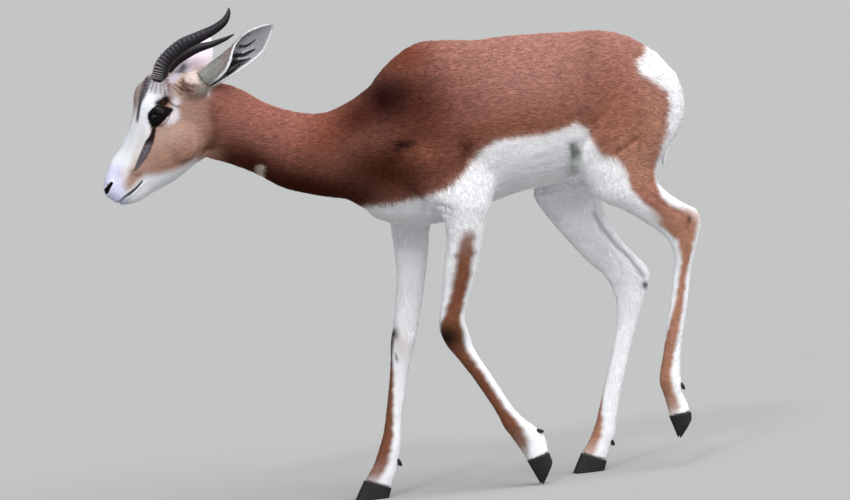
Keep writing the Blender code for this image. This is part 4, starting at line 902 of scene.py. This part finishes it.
def ear_places(points, side):
    """Place along an ear, round its cup from one rim (0) to the other (1), and how far a
    point lies outside the middle of its wall, as a share of the cup's size."""
    root, run, _, opening, wide = ear_axes(side)
    rows = np.array(EARS[side][4], float).T
    local = to_head(points) - root
    along = local @ run / (run @ run)
    t = np.clip(along, 0, 1)
    half, depth, front, rear = (np.interp(t, rows[0], rows[k]) for k in (1, 2, 3, 4))
    across = (local @ wide - EARS[side][3] * np.sin(math.pi * t)) / half
    up = -(local @ opening) / depth
    angle = np.degrees(np.arctan2(across, up))
    gap = 360 - front - rear
    angle = np.where(angle > front + np.maximum(gap, 0) / 2, angle - 360, angle)
    return along, (angle + rear) / (front + rear), np.hypot(across, up) - 1


def inside_ear(points, side):
    return ear_places(points, side)[2] < 0


def paint_ear(points, side):
    along, round_cup, out = ear_places(points, side)
    local = to_head(points)
    x, z = local[:, 0], local[:, 2]
    back = plain(EAR_BACK[side], len(points))
    if side == "left":
        lay(back, (0.235, 0.165, 0.165), 0.8 * step_up(0.25, 0.45, along))
        spine = ridge_at(round_cup - 0.36, 0.1) * step_up(0.15, 0.4, along)
        lay(back, (0.11, 0.095, 0.105), 0.8 * spine)
        lay(back, CREAM, 0.85 * step_up(0.26, 0.1, along) * step_up(0.3, 0.42, round_cup))
        lay(back, (0.27, 0.275, 0.215), 0.8 * step_up(0.2, 0.02, along) * step_up(0.3, 0.22, round_cup))
    else:
        for middle, size, turn, colour, strength in FAR_EAR_MARKS:
            lay(back, colour, strength * oval(x, z, middle, size, turn))
    hollow = plain((0.37, 0.375, 0.4), len(points))
    # the cup darker towards its root: painted shade deep in the cup
    lay(hollow, (0.13, 0.125, 0.13), 0.8 * step_up(0.5, 0.15, along))
    hairs = np.sin(along * 150 - round_cup * 60) * np.sin(along * 61 + round_cup * 90)
    lay(hollow, (0.64, 0.64, 0.68), 0.45 * step_up(0.0, 0.8, hairs))
    # painted shade inside the rolled front rim
    fold = step_up(0.16, 0.0, round_cup - 0.2 - 1.1 * np.clip(0.6 - along, 0, 0.4))
    lay(hollow, (0.09, 0.085, 0.1), 0.6 * fold * step_up(0.86, 0.66, along))
    ragged = 1 + 0.55 * np.sin(along * 260 + round_cup * 60)
    for paths, colour in ((EAR_SLITS, (0.008, 0.008, 0.009)), (EAR_LOCKS, (0.7, 0.7, 0.74))):
        for path, width in paths:
            gap, place = to_line(round_cup * CUP_SHARE, along, [(a * CUP_SHARE, b) for a, b in path])
            taper = width * (1 - 0.8 * place)
            slit = 1 - step_up(0.4, 1.5, gap * (1 + (ragged - 1) * (1 - place)) / taper)
            lay(hollow, colour, 0.95 * slit)
    inner = step_up(0.03, -0.03, out) * step_up(-0.01, 0.05, along)
    colours = back + (hollow - back) * inner[:, None]
    rim = np.maximum(step_up(0.86, 0.93, round_cup), step_up(0.06, 0.025, round_cup))
    lay(colours, WHITE, 0.95 * rim * step_up(0.1, 0.25, along))
    lay(colours, (0.42, 0.36, 0.38), 0.7 * step_up(0.94, 1.0, along))
    return colours


# Coat

def lie_field(points, normals, owner, nodes, edges):
    """The way the hair points, smoothed over the skin."""
    x, _, z = (points - np.array(SHIFT)).T
    lie = np.zeros_like(points)
    for k, node in enumerate(nodes):
        mine = owner == k
        if not mine.any():
            continue
        if node == "head":
            local = to_head(points[mine])
            t = step_up(-0.15, -0.03, local[:, 0])[:, None]
            way = (1 - t) * np.array((0.4, 0.0, 0.92)) + t * np.array((0.98, 0.0, -0.15))
            lie[mine] = way @ np.array(HEAD)[:3, :3].T
        elif node == "neck":
            lie[mine] = (0.92, 0.0, -0.38)
        elif node == "torso":
            at_leg = np.maximum(step_up(0.3, 0.38, x[mine]), step_up(0.17, 0.12, x[mine]))
            limb = (step_up(0.76, 0.64, z[mine]) * at_leg)[:, None]
            lie[mine] = (1 - limb) * np.array((0.96, 0.0, -0.28)) + limb * np.array((0.25, 0.0, -0.97))
        elif node.startswith("ear"):
            axis = ear_axes(node.split("_")[1])[2]
            lie[mine] = np.array(HEAD)[:3, :3] @ axis
        elif node == "tail":
            lie[mine] = (-0.15, 0.0, -0.99)
        else:
            leg, _, side = node.split("_")
            level, cx, *_ = limb_line(side, leg)
            slope = np.interp(z[mine], level, np.gradient(cx, level))
            lie[mine] = np.stack([-slope, np.zeros(mine.sum()), -np.ones(mine.sum())], axis=1)
    lie = spread(unit(lie), edges, 14)
    lie = lie - normals * np.sum(lie * normals, axis=1, keepdims=True)
    return unit(lie)


def atlas_place(points, cell, node_points, axis):
    """Where points lie on an unrolled skin: one cell per piece of the body, with the
    place along the piece one way and the angle round it the other."""
    side_a = unit(np.cross(axis, (0.0, 1.0, 0.0))[None])[0]
    side_b = np.cross(axis, side_a)
    along = node_points @ axis
    low, high = along.min(), along.max()
    levels = np.linspace(low, high, 12)
    middles = []
    for level in levels:
        near = node_points[np.abs(along - level) < (high - low) / 8]
        middles.append(((near.min(axis=0) + near.max(axis=0)) / 2))
    middles = np.array(middles)
    place = points @ axis
    centre = np.stack([np.interp(place, levels, middles[:, k]) for k in range(3)], axis=1)
    way = points - centre
    angle = np.arctan2(way @ side_b, way @ side_a) / (2 * math.pi) + 0.5
    s = 0.04 + 0.92 * np.clip((place - low) / (high - low), 0, 1)
    t = 0.04 + 0.92 * angle
    return np.stack([(cell % 4 + s) / 4, (cell // 4 + t) / 4], axis=1)


TUFT_PATCH = np.array([(-0.0015, -0.0015), (0.0015, -0.0015), (0.0, -0.0004), (0.0, 0.0015)])
TUFT_FACES = np.array([(0, 1, 2), (0, 2, 3), (2, 1, 3), (1, 0, 3)])


def tuft_mesh(name, root, normal, way, length, width, lift, colour, share, atlas):
    """Many small tapered tufts, each a closed spike lying along the skin."""
    count = len(root)
    side = unit(np.cross(way, normal))
    w, rise = width[:, None], np.radians(lift)[:, None]
    tip = root + length[:, None] * (way * np.cos(rise) + normal * np.sin(rise))
    corners = np.stack([
        root - side * w / 2 - normal * w * 0.35,
        root + side * w / 2 - normal * w * 0.35,
        root + way * length[:, None] * 0.12 + normal * w * 0.32,
        tip,
    ], axis=1)
    shade = np.stack([unit(normal - 0.35 * side), unit(normal + 0.35 * side), normal,
                      unit(normal + 0.15 * way)], axis=1)
    mesh = bpy.data.meshes.new(name)
    mesh.vertices.add(count * 4)
    mesh.vertices.foreach_set("co", corners.ravel())
    faces = (np.arange(count)[:, None, None] * 4 + TUFT_FACES[None]).reshape(-1)
    mesh.loops.add(len(faces))
    mesh.loops.foreach_set("vertex_index", faces.astype(np.int32))
    mesh.polygons.add(count * 4)
    mesh.polygons.foreach_set("loop_start", np.arange(0, count * 12, 3, dtype=np.int32))
    mesh.update(calc_edges=True)
    layer = mesh.uv_layers.new(name="OFBake", do_init=False)
    patch = atlas[:, None, :] + TUFT_PATCH[None]
    layer.uv.foreach_set("vector", patch[:, TUFT_FACES.ravel()].ravel().astype(np.float32))
    tone = mesh.color_attributes.new("Coat", "FLOAT_COLOR", "POINT")
    rgba = np.ones((count, 4, 4), np.float32)
    rgba[:, :, :3] = colour[:, None, :]
    rgba[:, 3, :3] *= 1.12
    rgba[:, 0:2, :3] *= 0.88
    rgba[:, :, 3] = share[:, None]
    tone.data.foreach_set("color", np.clip(rgba, 0, 1).ravel())
    held = mesh.attributes.new("custom_normal", "FLOAT_VECTOR", "POINT")
    held.data.foreach_set("vector", shade.astype(np.float32).ravel())
    mesh.validate()
    return mesh


# Materials

def material(name, roughness, sheen=0.0, specular=0.3):
    made = bpy.data.materials.new(name)
    made.use_nodes = True
    tree = made.node_tree
    shader = tree.nodes["Principled BSDF"]
    shader.inputs["Roughness"].default_value = roughness
    shader.inputs["Specular IOR Level"].default_value = specular
    shader.inputs["Sheen Weight"].default_value = sheen
    shader.inputs["Sheen Roughness"].default_value = 0.45
    return made, tree, shader


def noise(tree, scale, detail, stretch=(1, 1, 1)):
    """Noise in the object's own space, stretched along its axes."""
    place = tree.nodes.new("ShaderNodeTexCoord")
    mapping = tree.nodes.new("ShaderNodeMapping")
    mapping.inputs["Scale"].default_value = stretch
    texture = tree.nodes.new("ShaderNodeTexNoise")
    texture.inputs["Scale"].default_value = scale
    texture.inputs["Detail"].default_value = detail
    tree.links.new(place.outputs["Object"], mapping.inputs["Vector"])
    tree.links.new(mapping.outputs["Vector"], texture.inputs["Vector"])
    return texture.outputs["Fac"]


def ranged(tree, value, low, high):
    step = tree.nodes.new("ShaderNodeMapRange")
    step.inputs["From Min"].default_value = 0.3
    step.inputs["From Max"].default_value = 0.7
    step.inputs["To Min"].default_value = low
    step.inputs["To Max"].default_value = high
    tree.links.new(value, step.inputs["Value"])
    return step.outputs["Result"]


def times(tree, colour, factor, share=None):
    """A colour multiplied by a grey factor, fully or by a share from another socket."""
    step = tree.nodes.new("ShaderNodeMix")
    step.data_type = "RGBA"
    step.blend_type = "MULTIPLY"
    step.inputs["Factor"].default_value = 1.0
    if share is not None:
        tree.links.new(share, step.inputs["Factor"])
    tree.links.new(colour, step.inputs["A"])
    tree.links.new(factor, step.inputs["B"])
    return step.outputs["Result"]


def bumped(tree, shader, height, strength, distance):
    step = tree.nodes.new("ShaderNodeBump")
    step.inputs["Strength"].default_value = strength
    step.inputs["Distance"].default_value = distance
    tree.links.new(height, step.inputs["Height"])
    tree.links.new(step.outputs["Normal"], shader.inputs["Normal"])


def coat_material(name, bump):
    """Painted colours broken by small level flecks, as far as the paint's alpha says."""
    made, tree, shader = material(name, 0.65, sheen=0.02, specular=0.03)
    painted = painted_colour(tree)
    share = painted.outputs["Alpha"]
    flecks = ranged(tree, noise(tree, 82, 3, (0.9, 1.4, 4.0)), 0.7, 1.24)
    colour = times(tree, painted.outputs["Color"], flecks, share)
    for scale, stretch in ((330, (0.6, 1.0, 1.5)), (190, (1.0, 1.0, 1.6))):
        colour = times(tree, colour, ranged(tree, noise(tree, scale, 2, stretch), 0.86, 1.12), share)
    colour = times(tree, colour, ranged(tree, noise(tree, 14, 2, (0.7, 1.0, 1.2)), 0.95, 1.05))
    tree.links.new(colour, shader.inputs["Base Color"])
    if bump:
        bumped(tree, shader, noise(tree, 420, 2, (0.35, 1.0, 0.8)), 0.35, 0.0012)
    return made


def horn_material(name):
    made, tree, shader = material(name, 0.42, specular=0.22)
    painted = painted_colour(tree)
    grain = ranged(tree, noise(tree, 160, 4, (0.5, 1.6, 1.6)), 0.72, 1.25)
    tree.links.new(times(tree, painted.outputs["Color"], grain), shader.inputs["Base Color"])
    bumped(tree, shader, noise(tree, 260, 4, (0.5, 1.6, 1.6)), 0.25, 0.0006)
    return made


def mottled(tree, shader, value, dark, light):
    """Colour the shader from dark to light by a noise."""
    ramp = tree.nodes.new("ShaderNodeValToRGB")
    for element, colour in zip(ramp.color_ramp.elements, (dark, light)):
        element.color = (*colour, 1)
    tree.links.new(value, ramp.inputs["Fac"])
    tree.links.new(ramp.outputs["Color"], shader.inputs["Base Color"])


def hoof_material(name):
    made, tree, shader = material(name, 0.45, specular=0.25)
    mottled(tree, shader, noise(tree, 60, 4, (1, 1, 4)), (0.004, 0.004, 0.004), (0.02, 0.018, 0.017))
    bumped(tree, shader, noise(tree, 90, 3, (0.6, 0.6, 5)), 0.3, 0.0005)
    return made


def eye_material(name):
    made, tree, shader = material(name, 0.05, specular=0.07)
    painted = painted_colour(tree)
    grain = ranged(tree, noise(tree, 700, 2), 0.8, 1.2)
    tree.links.new(times(tree, painted.outputs["Color"], grain), shader.inputs["Base Color"])
    return made


def painted_colour(tree):
    painted = tree.nodes.new("ShaderNodeVertexColor")
    painted.layer_name = "Coat"
    return painted


def set_colours(mesh, colours, share=1.0):
    tone = mesh.color_attributes.new("Coat", "FLOAT_COLOR", "POINT")
    rgba = np.ones((len(mesh.vertices), 4), np.float32)
    rgba[:, :3] = colours
    rgba[:, 3] = share
    tone.data.foreach_set("color", rgba.ravel())


# Pieces

def rides(item, slot, *replaced):
    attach(item, "root")
    if replaced:
        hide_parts(*replaced)


def fleck_share(points, colours):
    """Flecks are strong on brown hair of the body, weaker on white hair and the face."""
    light = colours @ np.array((0.21, 0.72, 0.07))
    share = 1 - 0.8 * step_up(0.15, 0.55, light)
    face = step_up(0.16, -0.02, to_head(points)[:, 0])
    low = step_up(0.62, 0.55, points[:, 2])
    return share * (1 - 0.3 * face) * (1 - 0.5 * low)


def dress_skin():
    """The skin with its markings, and the coat on it."""
    skin = build_skin()
    mesh = skin.data
    points, normals, edges = coordinates(mesh), normals_of(mesh), edges_of(mesh)
    nodes = FLESH + ["ear_left", "ear_right"]
    owner = nearest_nodes(points, nodes)
    colours = paint_body(points, normals)
    for side in SIDES:
        for leg in ("fore", "hind"):
            for part in ("upper", "lower"):
                mine = owner == nodes.index(f"{leg}_{part}_{side}")
                colours[mine] = paint_leg(colours[mine], points[mine], leg, side)
    head = ((owner == nodes.index("head")) | (owner == nodes.index("neck"))) * 1.0
    share = spread(head[:, None], edges, 6)[:, 0] * step_up(0.062, 0.02, to_head(points)[:, 0])
    colours = colours + (paint_face(points, normals) - colours) * share[:, None]
    for side in SIDES:
        mine = (owner == nodes.index(f"ear_{side}")) * 1.0
        share = spread(mine[:, None], edges, 4)
        colours = colours + (paint_ear(points, side) - colours) * share
    colours[owner == nodes.index("tail")] = WHITE
    flecked = fleck_share(points, colours)
    set_colours(mesh, colours, flecked)
    clothed(mesh, coat_material("skin", bump=True))
    rides(skin, "torso", *FLESH, "ear_left", "ear_right")
    grow_coat(mesh, points, normals, edges, owner, nodes, np.column_stack([colours, flecked]))


# Coat pieces: the nodes that each covers, the side, and how many tufts it has
COAT_PIECES = {
    "coat_head": (["head"], None, 47000),
    "coat_neck": (["neck"], None, 44000),
    "coat_body_left": (["torso", "tail"], "left", 48500),
    "coat_body_right": (["torso", "tail"], "right", 48500),
    "coat_forelegs": ([n for n in FLESH if n.startswith("fore")], None, 34000),
    "coat_hindlegs": ([n for n in FLESH if n.startswith("hind")], None, 38000),
    "coat_ears": (["ear_left", "ear_right"], None, 27000),
}


def grow_coat(mesh, points, normals, edges, owner, nodes, colours):
    rows = np.array([coat_row(node) for node in nodes])[owner]
    local = to_head(points)
    rows = spread(rows, edges, 8)
    length, width, lift = rows[:, 1].copy(), rows[:, 2].copy(), rows[:, 3].copy()
    muzzle = step_up(-0.1, -0.16, local[:, 0]) * (owner == nodes.index("head"))
    length *= 1 - 0.35 * muzzle
    feet = step_up(0.12, 0.06, points[:, 2])
    length *= 1 - 0.25 * feet
    length *= 1 - 0.85 * (owner == nodes.index("tail"))
    lie = lie_field(points, normals, owner, nodes, edges)
    bare = np.zeros(len(points))
    x, y, z = local.T
    in_head = owner == nodes.index("head")
    near_eye = outside(x, z, LID_OPENING)
    bare = np.maximum(bare, in_head * step_up(0.0032, 0.0016, near_eye) * (np.abs(y) > 0.02))
    for side in SIDES.values():
        gap, _ = to_line(x, z, NOSTRIL_SIDE_VIEW)
        bare = np.maximum(bare, in_head * step_up(1.4, 1.1, gap / NOSTRIL_RADIUS) * (y * side > 0.006))
    gap, _ = to_line(x, z, MOUTH)
    bare = np.maximum(bare, in_head * step_up(0.0026, 0.0014, gap))
    tris = triangles_of(mesh)
    corner = points[tris]
    area = np.linalg.norm(np.cross(corner[:, 1] - corner[:, 0], corner[:, 2] - corner[:, 0]), axis=1) / 2
    area = area * np.clip(1 - bare[tris].max(axis=1), 0, 1)
    tri_owner = owner[tris[:, 0]]
    made = coat_material("coat", bump=False)
    cells = {node: i for i, node in enumerate(nodes)}
    inner_cells = {"ear_left": len(nodes), "ear_right": len(nodes) + 1}
    for name, (members, side, count) in COAT_PIECES.items():
        chosen = np.isin(tri_owner, [nodes.index(n) for n in members])
        if side:
            chosen &= (corner[:, :, 1].mean(axis=1) - SHIFT.y) * SIDES[side] > 0
        picked = np.flatnonzero(chosen)
        running = np.cumsum(area[picked])
        took = picked[np.searchsorted(running, rng.random(count) * running[-1]).clip(0, len(picked) - 1)]
        a, b = np.sqrt(rng.random(count)), rng.random(count)
        share = np.stack([1 - a, a * (1 - b), a * b], axis=1)

        def at(values):
            return np.einsum("ij,ijk->ik", share, values[tris[took]])

        root, normal = at(points), unit(at(normals))
        way = at(lie)
        way = way - normal * np.sum(way * normal, axis=1, keepdims=True)
        way = unit(way)
        swing = np.radians(rng.normal(0, 11, count))[:, None]
        way = way * np.cos(swing) + np.cross(normal, way) * np.sin(swing)
        painted = at(colours)
        tone = painted[:, :3] * (1 + 0.08 * (0.4 + 0.6 * painted[:, 3]) * rng.normal(0, 1, count))[:, None]
        size = at(np.stack([length, width, lift], axis=1))
        long = size[:, 0] * rng.uniform(0.7, 1.25, count)
        atlas = np.zeros((count, 2))
        for node in members:
            mine = tri_owner[took] == nodes.index(node)
            node_points = coordinates(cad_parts[node].data)
            axis = atlas_axis(node)
            if not mine.any():
                continue
            spot = atlas_place(root[mine], cells[node], node_points, axis)
            if node.startswith("ear"):
                within = inside_ear(root[mine], node.split("_")[1])
                spot[within] = atlas_place(root[mine][within], inner_cells[node], node_points, axis)
            atlas[mine] = spot
        coat = tuft_mesh(name, root, normal, way, long, size[:, 1] * rng.uniform(0.8, 1.2, count),
                         size[:, 2] * rng.uniform(0.5, 1.5, count), tone, painted[:, 3], atlas)
        coat.materials.append(made)
        rides(new_object(name, coat), members[0])


def atlas_axis(node):
    if node in ("head", "neck", "torso"):
        return np.array((1.0, 0.0, 0.0))
    if node.startswith("ear"):
        return np.array(HEAD)[:3, :3] @ ear_axes(node.split("_")[1])[2]
    return np.array((0.0, 0.0, 1.0))


def build_eye(side):
    """A dark eye with a wide level pupil, a slight bulge of the cornea and two painted reflections."""
    shape = bmesh.new()
    bmesh.ops.create_uvsphere(shape, u_segments=96, v_segments=64, radius=1.0)
    mesh = put_back(shape, bpy.data.meshes.new(f"eye_{side}_ball"))
    ball = coordinates(mesh)
    outward = np.array((-0.12, SIDES[side] * 0.98, 0.1))
    outward = outward / np.linalg.norm(outward)
    lean = ball @ outward
    bulge = 1 + 0.035 * step_up(0.8, 0.97, lean)
    across = unit(np.cross(outward, (0.0, 0.0, 1.0))[None])[0]
    rise = np.cross(across, outward)
    u, v = ball @ across, ball @ rise
    off = np.sqrt(np.clip(1 - lean ** 2, 0, 1))
    colours = plain((0.003, 0.003, 0.003), len(ball))
    iris = (1 - step_up(0.6, 0.66, off)) * (lean > 0)
    lay(colours, (0.006, 0.004, 0.003), iris)
    # two pale arcs: painted reflections on the eye
    for place, rise_to, size in (((-0.1, 0.62), 0.08, 0.3), ((-0.42, -0.22), 0.06, 0.28)):
        level = u * across[0] * -1 / abs(across[0]) + place[0]
        sky = np.exp(-((level / size) ** 2 + ((v - place[1]) / rise_to) ** 2))
        lay(colours, (0.105, 0.115, 0.135), 0.7 * sky * (lean > 0))
    pupil = np.hypot(u / 0.46, v / 0.24)
    lay(colours, (0.001, 0.001, 0.002), (1 - step_up(0.85, 1.1, pupil)) * (lean > 0))
    set_colours(mesh, colours)
    world = from_head(np.array((EYE.x, SIDES[side] * EYE.y, EYE.z)) + ball * (EYE_RADIUS * bulge)[:, None])
    move_points(mesh, world)
    clothed(mesh, eye_material(f"eye_{side}"))
    item = new_object(f"eye_{side}_ball", mesh)
    rides(item, f"eye_{side}", f"eye_{side}")


def between(rows, steps):
    """Catmull-Rom values between given rows."""
    rows = np.array(rows, float)
    last = len(rows) - 1
    filled = []
    for i in range(last):
        near = rows[max(i - 1, 0)], rows[i], rows[i + 1], rows[min(i + 2, last)]
        filled += [bend(*near, k / steps) for k in range(steps)]
    filled.append(rows[last])
    return np.array(filled)


def build_horn(side):
    """A horn with rounded rings that stand highest in front and fade towards the tip, painted lighter on its
    upper side, with painted highlights on the ring crests and painted shade in the gaps between them.
    """
    curve = between(HORNS[side], 14)
    run = np.concatenate([[0], np.cumsum(np.linalg.norm(np.diff(curve[:, :3], axis=0), axis=1))])
    run /= run[-1]
    low, high = HORN_RINGED
    places = np.concatenate([np.linspace(0, high, 240), np.linspace(high, 1, 80)[1:]])
    rows = np.stack([np.interp(places, run, curve[:, k]) for k in range(4)], axis=1)
    ring = np.clip((places - low) / (high - low), 0, 1) ** HORN_CROWDING * HORN_RINGS
    phase = ring % 1
    climb = np.sin(phase / RING_RISE * math.pi / 2)
    fall = np.cos((phase - RING_RISE) / (1 - RING_RISE) * math.pi / 2)
    profile = np.where(phase < RING_RISE, climb, fall)
    fade = (1 - 0.6 * ring / HORN_RINGS) * (places > low) * (places < high)
    ridge = HORN_RIDGE * fade * (1.25 * profile - 0.35)
    points, colours, across = [], [], np.array((0.0, 1.0, 0.0))
    turn = np.arange(HORN_SIDES) * 2 * math.pi / HORN_SIDES
    for i in range(len(places)):
        ahead = rows[min(i + 1, len(rows) - 1), :3] - rows[max(i - 1, 0), :3]
        ahead = ahead / np.linalg.norm(ahead)
        across = across - ahead * (across @ ahead)
        across = across / np.linalg.norm(across)
        over = np.cross(ahead, across)
        front = 0.65 + 0.35 * np.cos(turn - math.pi / 2)
        size = rows[i, 3] * (1 + ridge[i] * front) * 0.985
        sideways = np.outer(np.cos(turn) * size * HORN_FLATTEN, across)
        points.append(rows[i, :3] + sideways + np.outer(np.sin(turn) * size, over))
        # painted highlights on the ring crests, painted light on the upper side and painted shade below
        ring_highlight = np.clip(ridge[i] / HORN_RIDGE, 0, 1) * (0.4 + 0.6 * np.clip(np.sin(turn), 0, 1))
        upper = np.clip(0.5 + 0.8 * np.sin(turn), 0.05, 1)
        tone = np.outer(0.25 + 0.75 * upper, HORN_DARK) + np.outer(ring_highlight * upper, HORN_HIGHLIGHT)
        # painted shade in the gaps between the rings
        tone = tone * (1 - 0.65 * (ridge[i] < 0) * (places[i] < high))
        # pale bands near the root: partly wear, partly painted light on their upper side
        worn = step_up(0.26, 0.02, places[i]) * math.exp(-((phase[i] - 0.5) / 0.17) ** 2)
        tone = tone * (1 - 0.5 * step_up(0.26, 0.05, places[i])) + np.outer(0.95 * worn * upper, HORN_WORN_AND_LIT)
        colours.append(tone)
    points, colours = np.concatenate(points), np.concatenate(colours)
    count = len(places)
    faces = []
    for r in range(count - 1):
        for s in range(HORN_SIDES):
            a, b = r * HORN_SIDES + s, r * HORN_SIDES + (s + 1) % HORN_SIDES
            faces.append((a, b, b + HORN_SIDES, a + HORN_SIDES))
    faces.append(tuple(range(HORN_SIDES))[::-1])
    faces.append(tuple(range((count - 1) * HORN_SIDES, count * HORN_SIDES)))
    mesh = bpy.data.meshes.new(f"horn_{side}_ringed")
    mesh.from_pydata(from_head(points).tolist(), [], faces)
    shape = bmesh.new()
    shape.from_mesh(mesh)
    bmesh.ops.recalc_face_normals(shape, faces=shape.faces)
    put_back(shape, mesh)
    set_colours(mesh, colours)
    clothed(mesh, horn_material(f"horn_{side}"))
    rides(new_object(f"horn_{side}_ringed", mesh), f"horn_{side}", f"horn_{side}")


def dress_feet():
    """Hooves and dewclaws with their edges worn round."""
    made = hoof_material("hoof_horn")
    for name in [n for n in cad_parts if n.startswith(("hoof", "dewclaw"))]:
        item = remeshed(gathered([name], f"{name}_horn"), HOOF_GRAIN)
        relax(item.data, HOOF_ROUNDS)
        clothed(item.data, made)
        rides(item, name, name)


# Studio

CAMERA_TURN = math.radians(-12)     # round the animal from square on its left side
CAMERA_RISE = math.radians(3)
CAMERA_ROLL = math.radians(5.9)     # the photo's ground falls away to the left
CAMERA_AIM = Vector((0.0, 0.0, 0.5195))
CAMERA_FAR = 12.0
CAMERA_REACH = 20000
SENSOR_WIDTH = 36
FLOOR_HALF = 5000
PIXELS_PER_METRE = 470
PHOTO_WIDTH = 850


def set_camera():
    back = Vector((math.sin(CAMERA_TURN) * math.cos(CAMERA_RISE),
                   -math.cos(CAMERA_TURN) * math.cos(CAMERA_RISE), math.sin(CAMERA_RISE)))
    right = Vector((math.cos(CAMERA_TURN), math.sin(CAMERA_TURN), 0))
    up = back.cross(right)
    axis_x = right * math.cos(CAMERA_ROLL) - up * math.sin(CAMERA_ROLL)
    axis_y = right * math.sin(CAMERA_ROLL) + up * math.cos(CAMERA_ROLL)
    data = bpy.data.cameras.new("camera")
    data.sensor_width = SENSOR_WIDTH
    data.lens = SENSOR_WIDTH * CAMERA_FAR * PIXELS_PER_METRE / PHOTO_WIDTH
    data.clip_end = CAMERA_REACH
    camera = bpy.data.objects.new("camera", data)
    bpy.context.scene.collection.objects.link(camera)
    turn = Matrix((axis_x, axis_y, back)).transposed().to_4x4()
    camera.matrix_world = Matrix.Translation(CAMERA_AIM + SHIFT + back * CAMERA_FAR) @ turn
    bpy.context.scene.camera = camera


def sun(name, way, energy, angle, colour):
    """A light from a far place along a direction, as soft as its angle in degrees."""
    data = bpy.data.lights.new(name, "SUN")
    data.energy = energy
    data.angle = math.radians(angle)
    data.color = colour
    light = bpy.data.objects.new(name, data)
    bpy.context.scene.collection.objects.link(light)
    light.matrix_world = Vector(way).to_track_quat("Z", "Y").to_matrix().to_4x4()


def set_studio():
    shape = bmesh.new()
    bmesh.ops.create_grid(shape, x_segments=8, y_segments=8, size=FLOOR_HALF)
    mesh = put_back(shape, bpy.data.meshes.new("floor"))
    floor = new_object("floor", mesh)
    made, tree, shader = material("floor", 0.9)
    mottled(tree, shader, noise(tree, 1.5, 2), (0.34, 0.34, 0.336), (0.365, 0.365, 0.361))
    mesh.materials.append(made)
    world = bpy.data.worlds.new("studio")
    bpy.context.scene.world = world
    world.use_nodes = True
    background = world.node_tree.nodes["Background"]
    background.inputs["Color"].default_value = (0.9, 0.95, 1.0, 1)
    background.inputs["Strength"].default_value = 0.6
    sun("sky", (0.38, -0.5, 0.86), 3.4, 70, (1.0, 0.985, 0.97))
    sun("key", (-0.45, -0.9, 0.7), 0.6, 8, (1.0, 0.98, 0.95))
    bpy.context.scene.view_settings.view_transform = "Standard"


set_camera()
set_studio()
dress_skin()
for side_name in SIDES:
    build_eye(side_name)
    build_horn(side_name)
dress_feet()
